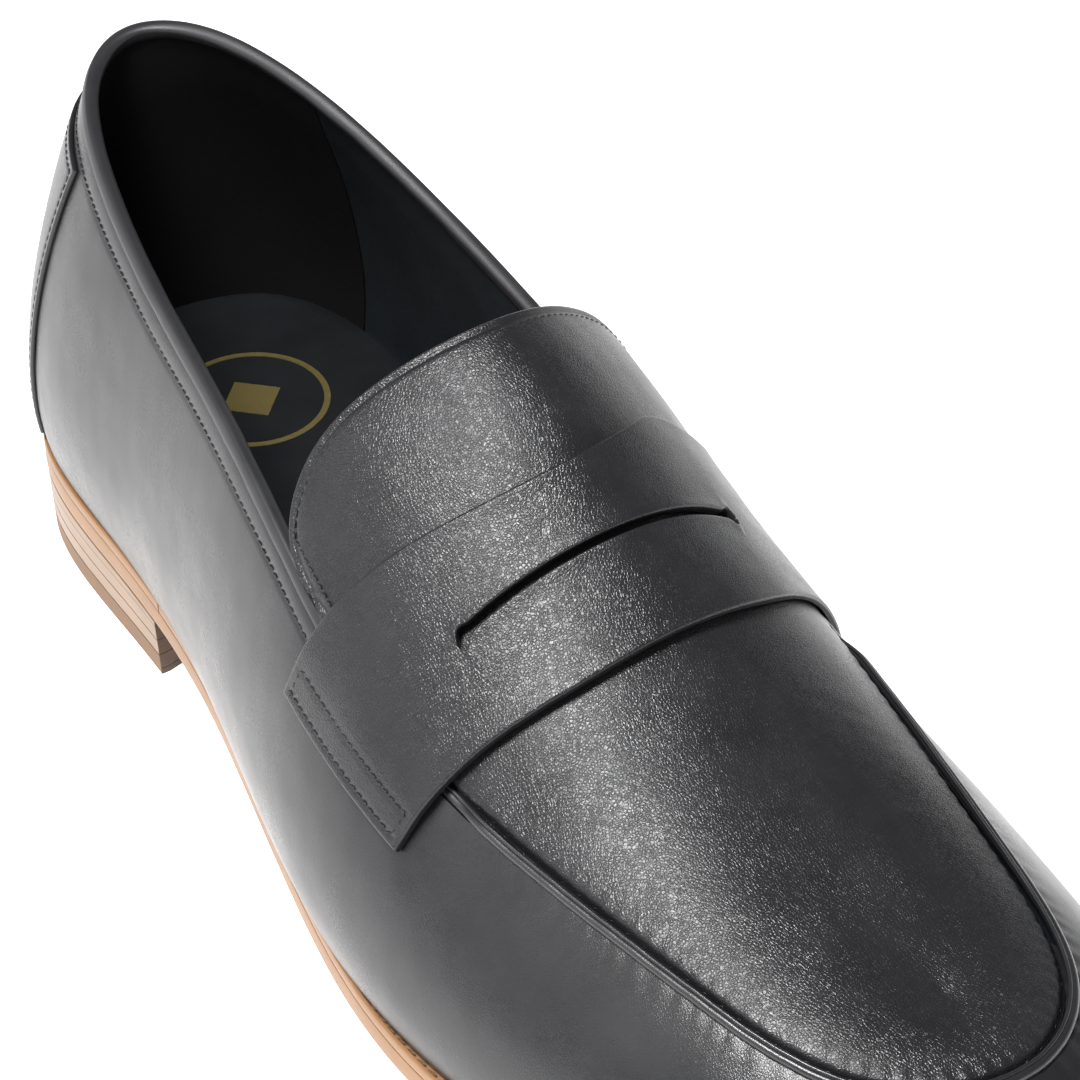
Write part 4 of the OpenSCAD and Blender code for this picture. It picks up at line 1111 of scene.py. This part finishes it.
def make_heel_cap(shape):
    """The heel cap: a second layer of calf that wraps the heel below the topline's stitches."""
    half = shape.heel_cap_length / STATION_MM
    start = cosine(31)[:15]
    w = np.concatenate([start * 0.12, np.linspace(0.06, 0.94, 70), 1 - start[::-1] * 0.12])
    t = -half + 2 * half * w
    top = edge_u(t) - in_u(t, edge_u(t), TOPLINE_ROW + 1.2)
    u = top[:, None] * (0.03 + 0.97 * np.concatenate([np.linspace(0, 0.93, 70),
                                                      1 - start[::-1] * 0.14]))
    grid_t = np.broadcast_to(t[:, None], u.shape)
    base = on_last(grid_t, u)
    near = np.minimum((half - np.abs(grid_t)) * STATION_MM, (top[:, None] - u) / in_u(t, top, 1.0)[:, None])
    drop = round_over(near, 0.5) - 0.15 * bell(near - 1.6, 0.45)
    swell = (0.1 * ripple(base, 24, 51) + 0.04 * ripple(base, 8, 52)) * smooth(near / 4)
    outer = on_last(grid_t, u, 0.88 + drop + swell)
    inner = on_last(grid_t, u, 0.1 + 0.3 * swell)
    obj = sheet_object("heel_cap", outer, inner, [FINISH["calf_smooth"], FINISH["paint"]])
    keep(obj, "dark_leather", "heel_cap")
    q = np.linspace(0.06, 1, 90)
    side = half - 1.6 / STATION_MM
    row = edge_u(side) - in_u(side, edge_u(side), TOPLINE_ROW + 2.8)
    at = np.concatenate([np.full(89, -side), np.linspace(-side, side, 160), np.full(89, side)])
    v = edge_u(at) - in_u(at, edge_u(at), TOPLINE_ROW + 2.8)
    v[:89], v[-89:] = row * q[:-1], row * q[:-1][::-1]
    stitched("heel_cap_stitching", [(on_last(at, v, np.full(at.shape, 0.72)), outward(at, v))], shape)


def wall_lining(name, a, b, finish, slot):
    """A lining that stands on the wall between two stations and turns in under the foot."""
    t = np.linspace(a, b, max(int(abs(b - a) * 24), 20))
    top = edge_u(t) - in_u(t, edge_u(t), 0.4 + seam_side(t) * 0.8)
    u = top[:, None] * np.linspace(0.06, 1, 40)[None]
    grid_t = np.broadcast_to(t[:, None], u.shape)
    base = on_last(grid_t, u)
    swell = 0.14 * ripple(base, 28, 61) * smooth(u / 0.4)
    depth = (edge_u(t)[:, None] - u) / in_u(t, edge_u(t), 1.0)[:, None]
    skived = (1 - smooth(depth / 12)) * (1 - seam_side(t))[:, None]
    outer = np.concatenate([foot_path(t, 0 * t + LINING_OUT, LINING_BASE),
                            on_last(grid_t, u, LINING_OUT + (RIM_OUT - LINING_OUT) * skived)], 1)
    inner = np.concatenate([foot_path(t, 0 * t + LINING_IN, LINING_BASE + LINING_T),
                            on_last(grid_t, u, LINING_IN + swell * (1 - skived)
                                    + (RIM_IN - LINING_IN) * skived)], 1)
    obj = sheet_object(name, outer, inner, [FINISH[finish], FINISH["paint"]])
    return keep(obj, slot, name)


def make_linings():
    """Quarter linings, the suede heel pocket and the hood of lining over the toes."""
    wall_lining("quarter_lining_outer", 2.01, THROAT - 0.01, "lining", "lining_leather")
    wall_lining("quarter_lining_inner", ROWS - THROAT + 0.01, ROWS - 2.01, "lining", "lining_leather")
    wall_lining("heel_pocket_lining", -1.99, 1.99, "suede", "pocket_suede")
    t = np.linspace(THROAT + 0.01, 10, 90)
    lo, hi = edge_u(t) * 0.06, 6 - edge_u(ROWS - t) * 0.06
    u = lo[:, None] + (hi - lo)[:, None] * np.linspace(0, 1, 101)[None]
    grid_t = np.broadcast_to(t[:, None], u.shape)

    def hood(h, z):
        """The whole hood at height h over the last, its turned-in margin z over the sole."""
        return np.concatenate([foot_path(t, 0 * t + h, z), on_last(grid_t, u, np.full(u.shape, h)),
                               foot_path(ROWS - t, 0 * t + h, z)[:, ::-1]], 1)

    obj = sheet_object("vamp_lining", hood(LINING_OUT, LINING_BASE),
                       hood(LINING_IN, LINING_BASE + LINING_T), [FINISH["lining"], FINISH["paint"]],
                       fold=True)
    keep(obj, "lining_leather", "vamp_lining")


# ---------------------------------------------------------------------------
# Bottom
# ---------------------------------------------------------------------------
LOOP = np.arange(480) * ROWS / 480
SOLE_GAP, SOCK_GAP = 0.05, 0.8
INSOLE_T, FOAM_T, SOCK_T = 2.2, 2.0, 1.0
TOP_PIECE_T, LIFT_T = 4.5, 3.5
NAIL_N, NAIL_R, NAIL_L = 7, 0.9, 9.0
NAIL_SPREAD, NAIL_INSET = 5.2, 9.0
BED_INSET = -LINING_IN + SOCK_GAP
INSOLE_LO = SOLE_T + LINING_BASE + LINING_T + GAP
FOAM_LO = INSOLE_LO + INSOLE_T + SOLE_GAP
SOCK_LO = FOAM_LO + FOAM_T + SOLE_GAP


def sole_ring(more, z, t=LOOP):
    """Loop of the sole's outline, moved out by more and lifted z over the underside."""
    p = sole_plan(t, more)
    return to_plan(p, sole_z(p[..., 0]) + z)


def bed_ring(inset, z, t=LOOP):
    """Loop inside the lining, inset from the feather line and lifted z over the sole."""
    p = plan_at(t, np.full(t.shape, inset))
    return to_plan(p, sole_z(p[..., 0]) + z)


def make_outsole():
    """The leather outsole with a rounded, waxed edge."""
    r = 0.7
    profile = [(-r * 1.6, 0), (-r * 0.8, 0.1), (-r * 0.25, 0.4), (-0.02, 0.9), (0, 1.6), (0, 2.6),
               (0, OUTSOLE_T - 0.35), (-0.06, OUTSOLE_T - 0.12), (-0.3, OUTSOLE_T)]
    rings = np.stack([sole_ring(o, z) for o, z in profile])
    obj = slab_object("outsole", rings, [FINISH["tan"]], rows=30)
    keep(obj, "sole_leather", "outsole")


def ring_path(t, outer, inner_inset, lo, hi, groove):
    """Closed cross section of the welt or the rand, round the edge from inside to inside."""
    rows = []
    for o, z in ((-0.3, lo), (-0.08, lo + 0.1), (0.0, lo + 0.35), (0.03, (lo + hi) / 2), (0.0, hi - 0.4),
                 (-0.1, hi - 0.14), (-0.32, hi - 0.02), (-0.55, hi)):
        p = sole_plan(t, o + outer)
        rows.append(to_plan(p, sole_z(p[..., 0]) + z))
    for inset, z in ((0.75, hi - groove), (1.15, hi - groove * 0.4), (2.0, hi), (4.5, hi)):
        p = sole_plan(t, -inset)
        rows.append(to_plan(p, sole_z(p[..., 0]) + z))
    for inset, z in ((inner_inset, hi), (inner_inset, lo)):
        p = plan_at(t, np.full(t.shape, inset))
        rows.append(to_plan(p, sole_z(p[..., 0]) + z))
    return np.stack(rows, 1)


def station_at(x, side):
    """Station where the feather line passes plan x, on the outer (1) or the inner (-1) side."""
    t = np.linspace(0.5, 9.5, 1800)
    t = t if side > 0 else ROWS - t
    return float(t[np.argmin(abs(loop_at(FEATHER, t)[:, 0] - x))])


def make_welt(shape):
    """The stitched welt round the forepart and the plain rand round the heel."""
    lo, hi = OUTSOLE_T + SOLE_GAP, SOLE_T - SOLE_GAP
    join = HEEL_X + 3
    a, b = station_at(join + 0.1, 1), station_at(join + 0.1, -1)
    t = np.linspace(a, b, 420)
    obj = tube_object("welt", ring_path(t, 0.0, MARGIN, lo, hi, 0.35), [FINISH["tan"]])
    keep(obj, "sole_leather", "welt")
    a, b = station_at(join - 0.1, -1) - ROWS, station_at(join - 0.1, 1)
    t = np.linspace(a, b, 160)
    obj = tube_object("heel_rand", ring_path(t, 0.05, MARGIN, lo, hi, 0.0), [FINISH["tan"]])
    keep(obj, "sole_leather", "heel_rand")
    at = np.linspace(6.2, ROWS - 6.2, 420)
    p = sole_plan(at, -0.75)
    line = to_plan(p, sole_z(p[..., 0]) + hi - 0.02)
    stitched("welt_stitching", [(line, np.tile([0.0, 0.0, 1.0], (len(at), 1)))], shape, "welt_thread",
             "welt_thread", length=2.4, lift=0.05)


def heel_loop(inset, count=120):
    """Plan loop of the heel: round the back and across the hollow breast."""
    t = np.linspace(0.5, 9.5, 1800)
    ends = [t[np.argmin(abs(sole_plan(k, -inset)[:, 0] - HEEL_X))] for k in (t, ROWS - t)]
    p = sole_plan(np.linspace(-ends[1], ends[0], count), -inset)
    y = np.linspace(p[-1, 1], p[0, 1], 41)[1:-1]
    sag, r = 5.0, 110.0
    bow = np.sqrt(r * r - y * y)
    x = HEEL_X - (bow - bow.min()) * sag / (bow.max() - bow.min())
    return np.concatenate([p, np.stack([x, y], -1)])


def heel_rings(levels):
    """Loops of the heel at (inset, height) levels; a height of None and above is the sole's pitch."""
    rings = []
    for inset, z, pitched in levels:
        p = heel_loop(inset)
        rings.append(to_plan(p, sole_z(p[:, 0]) - SOLE_GAP - z if pitched else np.full(len(p), z)))
    return np.stack(rings)


def make_heel():
    """Leather lifts, the rubber top piece and its nails."""
    taper, e = 0.045, 0.14
    low = TOP_PIECE_T + SOLE_GAP
    mid = low + LIFT_T + SOLE_GAP

    def inset(z):
        """How far the heel's outline lies inside the sole's at height z."""
        return (HEEL_HEIGHT - z) * taper + 0.1

    for name, z0, z1, slot, finish in (
            ("heel_top_piece", 0.0, TOP_PIECE_T, "top_rubber", "rubber"),
            ("heel_lift_lower", low, low + LIFT_T, "stacked_leather", "stack"),
            ("heel_lift_upper", mid, None, "stacked_leather", "stack")):
        levels = [(inset(z0) + e, z0 + 0.01, False), (inset(z0), z0 + e, False)]
        levels += ([(0.12, e, True), (0.12 + e, 0.0, True)] if z1 is None else
                   [(inset(z1), z1 - e, False), (inset(z1) + e, z1, False)])
        obj = plate_object(name, heel_rings(levels), [FINISH[finish], FINISH["breast"]])
        for face in obj.data.polygons:
            face.material_index = int(face.normal.x > 0.9 and face.center.x > (HEEL_X - 12) * MM)
        keep(obj, slot, name)
    at = (np.arange(NAIL_N) - (NAIL_N - 1) / 2) * NAIL_SPREAD / (NAIL_N - 1)
    p = to_plan(plan_at(at, np.full(NAIL_N, NAIL_INSET)), 0.03)
    guide = guide_object("nail_guide", [(p, np.tile([0.0, 0.0, 1.0], (NAIL_N, 1)))])
    nails = baked("heel_nails", guide, TREES["nail"], Radius=NAIL_R * MM, Length=NAIL_L * MM,
                  Material=FINISH["brass"])
    keep(nails, "nail_brass", "heel_nails")


def make_bed():
    """Foam footbed, sock liner and its stamped foil mark."""
    def slab(name, lo, hi, r, finish):
        """A layer of the bed between two heights, with edges of radius r."""
        profile = [(BED_INSET + r, lo), (BED_INSET + r * 0.3, lo + r * 0.3), (BED_INSET, lo + r),
                   (BED_INSET, hi - r), (BED_INSET + r * 0.3, hi - r * 0.3), (BED_INSET + r, hi)]
        rings = np.stack([bed_ring(i, z) for i, z in profile])
        return slab_object(name, rings, [FINISH[finish]], rows=24)

    foam = slab("foam_footbed", FOAM_LO, FOAM_LO + FOAM_T, 0.5, "foam")
    keep(foam, "foam", "foam_footbed")
    # The sock liner's near-black finish carries painted shade of the shoe's dim inside
    sock = slab("sock_liner", SOCK_LO, SOCK_LO + SOCK_T, 0.3, "sock")
    keep(sock, "lining_leather", "sock_liner")
    mark_x, r, line = -104.0, 15.0, 1.2
    top = SOCK_LO + SOCK_T + 0.06
    a = np.linspace(0, 2 * math.pi, 97)[:-1]
    rings = []
    for rad, dz in ((r, -0.05), (r, 0.05), (r - line, 0.05), (r - line, -0.05)):
        p = np.stack([mark_x + rad * np.cos(a), rad * np.sin(a)], -1)
        rings.append(to_plan(p, sole_z(p[:, 0]) + top + dz))
    ring = tube_object("foil_ring", np.stack(rings, 1), [FINISH["gold"]], closed=True, sharp=30)
    side = 0.6 * r / math.sqrt(2)
    corner = np.array([[side, 0], [0, side], [-side, 0], [0, -side]]) + [mark_x, 0]
    loop = np.concatenate([np.linspace(c, d, 8, endpoint=False)
                           for c, d in zip(corner, np.roll(corner, -1, 0))])
    plates = np.stack([to_plan(loop, sole_z(loop[:, 0]) + top + dz) for dz in (-0.05, 0.05)])
    lozenge = plate_object("foil_mark", plates, [FINISH["gold"]])
    keep(ring, "gold_foil")
    keep(lozenge, "gold_foil", "foil_mark")


HIDDEN = {"toe_puff": "puff", "heel_counter": "stiffener", "insole_board": "board",
          "shank": "steel", "cork_filler": "cork"}


def paint_hidden():
    """Gives the CAD pieces inside the shoe their own finishes."""
    for node, finish in HIDDEN.items():
        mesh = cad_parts[node].data
        mesh.materials.clear()
        mesh.materials.append(FINISH[finish])


# ---------------------------------------------------------------------------
# Stage
# ---------------------------------------------------------------------------
CAMERA_AZIMUTH, CAMERA_ELEVATION, CAMERA_ROLL = 57.7, 37.35, -1.21
CAMERA_TARGET = (15.6, -11.7, 75.4)
CAMERA_DISTANCE = 683.6
CAMERA_LENS = 140.5


def aim(obj, place, target, roll=0.0):
    """Points an object's -Z at a target."""
    obj.location = place
    way = Vector(target) - Vector(place)
    turn = way.to_track_quat("-Z", "Y").to_matrix().to_4x4()
    obj.matrix_world = Matrix.Translation(place) @ turn @ Matrix.Rotation(roll, 4, "Z")


def make_camera():
    """The camera, aimed at the instep from above the outer side of the toe."""
    az, el = math.radians(CAMERA_AZIMUTH), math.radians(CAMERA_ELEVATION)
    back = np.array([math.sin(az) * math.cos(el), -math.cos(az) * math.cos(el), math.sin(el)])
    target = (np.array(CAMERA_TARGET) + SHIFT) * MM
    data = bpy.data.cameras.new("Camera")
    data.lens = CAMERA_LENS
    data.sensor_width = 36.0
    data.clip_start = 0.01
    camera = bpy.data.objects.new("Camera", data)
    bpy.context.scene.collection.objects.link(camera)
    aim(camera, target + back * CAMERA_DISTANCE * MM, target, math.radians(CAMERA_ROLL))
    bpy.context.scene.camera = camera


def area_light(name, place, target, size, power):
    """A rectangular softbox that faces a target."""
    data = bpy.data.lights.new(name, "AREA")
    data.shape = "RECTANGLE"
    data.size, data.size_y = size
    data.energy = power
    light = bpy.data.objects.new(name, data)
    bpy.context.scene.collection.objects.link(light)
    aim(light, place, target)


def make_stage(stage):
    """White floor, a surround that is bright at table height only, and two softboxes."""
    size = 3.0
    mesh = bpy.data.meshes.new("floor")
    mesh.from_pydata([(-size, -size, 0), (size, -size, 0), (size, size, 0), (-size, size, 0)], [],
                     [(0, 1, 2, 3)])
    s = Shader("FloorPaper")
    fleck = s.noise(300.0, 2.0)
    mesh.materials.append(s.finish(s.blend(fleck, (0.93, 0.93, 0.93), (0.96, 0.96, 0.96)), 0.9,
                                   Emission_Color=(1, 1, 1, 1), Emission_Strength=stage.table_glow))
    floor = bpy.data.objects.new("floor", mesh)
    bpy.context.scene.collection.objects.link(floor)
    world = bpy.data.worlds.new("Studio")
    world.use_nodes = True
    nodes, links = world.node_tree.nodes, world.node_tree.links
    sky = nodes["Background"]
    sky.inputs["Color"].default_value = (1, 1, 1, 1)
    height = nodes.new("ShaderNodeSeparateXYZ")
    links.new(nodes.new("ShaderNodeTexCoord").outputs["Generated"], height.inputs[0])
    fade = nodes.new("ShaderNodeMapRange")
    fade.interpolation_type = "SMOOTHSTEP"
    links.new(height.outputs["Z"], fade.inputs["Value"])
    for name, value in (("From Min", 0.05), ("From Max", 0.5), ("To Min", stage.horizon),
                        ("To Max", stage.surround)):
        fade.inputs[name].default_value = value
    links.new(fade.outputs["Result"], sky.inputs["Strength"])
    bpy.context.scene.world = world
    area_light("Key", (0.07, -0.37, 1.07), (0.02, 0.0, 0.05), (0.26, 0.42), stage.key_power)
    area_light("Side", (-0.3, -1.0, 0.75), (0.0, 0.0, 0.05), (0.9, 0.5), stage.side_power)
    bpy.context.scene.view_settings.view_transform = "Standard"


# ---------------------------------------------------------------------------
# Add-on
# ---------------------------------------------------------------------------
class LoaferShape(bpy.types.PropertyGroup):
    """Sizes that a maker would change, in millimetres."""

    cord_radius: bpy.props.FloatProperty(name="Cord radius", default=0.85, min=0.5, max=2.0,
                                         description="Radius of the cord in the raised seam, in mm")
    cord_rise: bpy.props.FloatProperty(name="Cord rise", default=0.2, min=0.0, max=1.0,
                                       description="Height of the cord's middle over the leather, in mm")
    strap_thickness: bpy.props.FloatProperty(name="Strap thickness", default=1.8, min=1.0, max=3.0,
                                             description="Thickness of the saddle strap, in mm")
    strap_rise: bpy.props.FloatProperty(name="Strap rise", default=0.9, min=0.5, max=3.0,
                                        description="Gap under the strap where it bridges, in mm")
    bead_radius: bpy.props.FloatProperty(name="Bead radius", default=0.36, min=0.1, max=1.0,
                                         description="Radius of the bead beside the cord, in mm")
    slot_width: bpy.props.FloatProperty(name="Slot width", default=1.5, min=1.0, max=4.0,
                                        description="Width of the slot in the strap, in mm")
    tongue_rise: bpy.props.FloatProperty(name="Tongue rise", default=1.3, min=0.0, max=3.0,
                                         description="How far the tongue's tip stands up, in mm")
    tongue_row: bpy.props.FloatProperty(name="Tongue row", default=1.4, min=1.0, max=4.0,
                                        description="Distance of the tongue's stitches from its rim, in mm")
    binding_depth: bpy.props.FloatProperty(name="Binding depth", default=2.2, min=1.0, max=4.0,
                                           description="Depth of the topline binding, in mm")
    heel_cap_length: bpy.props.FloatProperty(name="Heel cap length", default=41.0, min=20.0, max=60.0,
                                             description="Reach of the heel cap along each side, in mm")
    stitch_length: bpy.props.FloatProperty(name="Stitch length", default=1.45, min=0.8, max=4.0,
                                           description="Length of one stitch, in mm")
    stitch_pitch: bpy.props.FloatProperty(name="Stitch pitch", default=1.8, min=1.0, max=5.0,
                                          description="Distance from one stitch to the next, in mm")
    thread_thickness: bpy.props.FloatProperty(name="Thread thickness", default=0.45, min=0.2, max=1.2,
                                              description="Thickness of the thread, in mm")


class LoaferLeather(bpy.types.PropertyGroup):
    """Colours and grain of the calf."""

    calf_dark: bpy.props.FloatVectorProperty(name="Calf, dark", subtype="COLOR", size=3,
                                             default=(0.014, 0.014, 0.016), min=0, max=1,
                                             description="Darkest tone of the outer leather")
    calf_light: bpy.props.FloatVectorProperty(name="Calf, light", subtype="COLOR", size=3,
                                              default=(0.023, 0.023, 0.026), min=0, max=1,
                                              description="Lightest tone of the outer leather")
    calf_roughness: bpy.props.FloatProperty(name="Calf roughness", default=0.3, min=0.1, max=0.9,
                                            description="How dull the outer leather is", subtype="FACTOR")
    grain_size: bpy.props.FloatProperty(name="Grain size", default=0.52, min=0.3, max=3.0,
                                        description="Width of a pebble of the grain, in mm")
    grain_depth: bpy.props.FloatProperty(name="Grain depth", default=0.065, min=0.0, max=0.4,
                                         description="Depth of the grain, in mm")


class LoaferStage(bpy.types.PropertyGroup):
    """Strengths of the lights."""

    surround: bpy.props.FloatProperty(name="Surround", default=0.07, min=0, max=3,
                                      description="Strength of the surround overhead")
    horizon: bpy.props.FloatProperty(name="Horizon", default=0.95, min=0, max=3,
                                     description="Strength of the white surround at table height")
    table_glow: bpy.props.FloatProperty(name="Table glow", default=0.9, min=0, max=3,
                                        description="How bright the white table shines")
    key_power: bpy.props.FloatProperty(name="Key", default=14.0, min=0, max=100, unit="POWER",
                                       description="Power of the overhead softbox")
    side_power: bpy.props.FloatProperty(name="Side", default=2.2, min=0, max=100, unit="POWER",
                                        description="Power of the softbox at the outer side")


class LOAFER_OT_materials(bpy.types.Operator):
    """Make the finishes and the stitch, cord and nail trees"""

    bl_idname = "loafer.materials"
    bl_label = "Materials and trees"

    def execute(self, context):
        FINISH.update(make_materials(context.scene.loafer_leather))
        TREES.update(stitch=stitch_tree(), cord=cord_tree(), nail=nail_tree())
        paint_hidden()
        return {"FINISHED"}


class LOAFER_OT_upper(bpy.types.Operator):
    """Build the skirt, the apron and the cord between them"""

    bl_idname = "loafer.upper"
    bl_label = "Skirt, apron and seam"

    def execute(self, context):
        shape = context.scene.loafer_shape
        make_skirt(shape)
        make_apron(shape)
        make_cord(shape)
        return {"FINISHED"}


class LOAFER_OT_tongue(bpy.types.Operator):
    """Build the tongue, its lining and its stitches"""

    bl_idname = "loafer.tongue"
    bl_label = "Tongue"

    def execute(self, context):
        make_tongue(context.scene.loafer_shape)
        return {"FINISHED"}


class LOAFER_OT_strap(bpy.types.Operator):
    """Build the saddle strap with its slot and stitched ends"""

    bl_idname = "loafer.strap"
    bl_label = "Saddle strap"

    def execute(self, context):
        make_strap(context.scene.loafer_shape)
        return {"FINISHED"}


class LOAFER_OT_trim(bpy.types.Operator):
    """Build the topline binding and the heel cap"""

    bl_idname = "loafer.trim"
    bl_label = "Binding and heel cap"

    def execute(self, context):
        make_binding(context.scene.loafer_shape)
        make_heel_cap(context.scene.loafer_shape)
        return {"FINISHED"}


class LOAFER_OT_linings(bpy.types.Operator):
    """Build the linings and the heel pocket"""

    bl_idname = "loafer.linings"
    bl_label = "Linings"

    def execute(self, context):
        make_linings()
        return {"FINISHED"}


class LOAFER_OT_sole(bpy.types.Operator):
    """Build the outsole, welt, rand and heel"""

    bl_idname = "loafer.sole"
    bl_label = "Sole and heel"

    def execute(self, context):
        make_outsole()
        make_welt(context.scene.loafer_shape)
        make_heel()
        return {"FINISHED"}


class LOAFER_OT_bed(bpy.types.Operator):
    """Build the footbed, the sock liner and its foil mark"""

    bl_idname = "loafer.bed"
    bl_label = "Footbed and sock liner"

    def execute(self, context):
        make_bed()
        return {"FINISHED"}


class LOAFER_OT_stage(bpy.types.Operator):
    """Set up the floor, the lights and the camera"""

    bl_idname = "loafer.stage"
    bl_label = "Stage"

    def execute(self, context):
        make_stage(context.scene.loafer_stage)
        make_camera()
        return {"FINISHED"}


OPERATORS = (LOAFER_OT_materials, LOAFER_OT_upper, LOAFER_OT_tongue, LOAFER_OT_strap, LOAFER_OT_trim,
             LOAFER_OT_linings, LOAFER_OT_sole, LOAFER_OT_bed, LOAFER_OT_stage)


class LOAFER_PT_panel(bpy.types.Panel):
    """Sidebar list of the shoe's sizes and steps"""

    bl_idname = "LOAFER_PT_panel"
    bl_label = "Penny loafer"
    bl_space_type = "VIEW_3D"
    bl_region_type = "UI"
    bl_category = "Loafer"

    def draw(self, context):
        for group in (context.scene.loafer_shape, context.scene.loafer_leather,
                      context.scene.loafer_stage):
            box = self.layout.box()
            for name in group.__annotations__:
                box.prop(group, name)
        for operator in OPERATORS:
            self.layout.operator(operator.bl_idname)


CLASSES = (LoaferShape, LoaferLeather, LoaferStage, *OPERATORS, LOAFER_PT_panel)


def register():
    """Adds the classes and the three groups of settings."""
    for cls in CLASSES:
        bpy.utils.register_class(cls)
    bpy.types.Scene.loafer_shape = bpy.props.PointerProperty(type=LoaferShape)
    bpy.types.Scene.loafer_leather = bpy.props.PointerProperty(type=LoaferLeather)
    bpy.types.Scene.loafer_stage = bpy.props.PointerProperty(type=LoaferStage)


def unregister():
    """Takes the settings and the classes away again."""
    for name in ("loafer_shape", "loafer_leather", "loafer_stage"):
        delattr(bpy.types.Scene, name)
    for cls in reversed(CLASSES):
        bpy.utils.unregister_class(cls)


def main():
    """Registers the add-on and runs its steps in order."""
    register()
    for step in ("materials", "upper", "tongue", "strap", "trim", "linings", "sole", "bed", "stage"):
        getattr(bpy.ops.loafer, step)()
    bpy.context.view_layer.update()


if __name__ == "__main__":
    main()
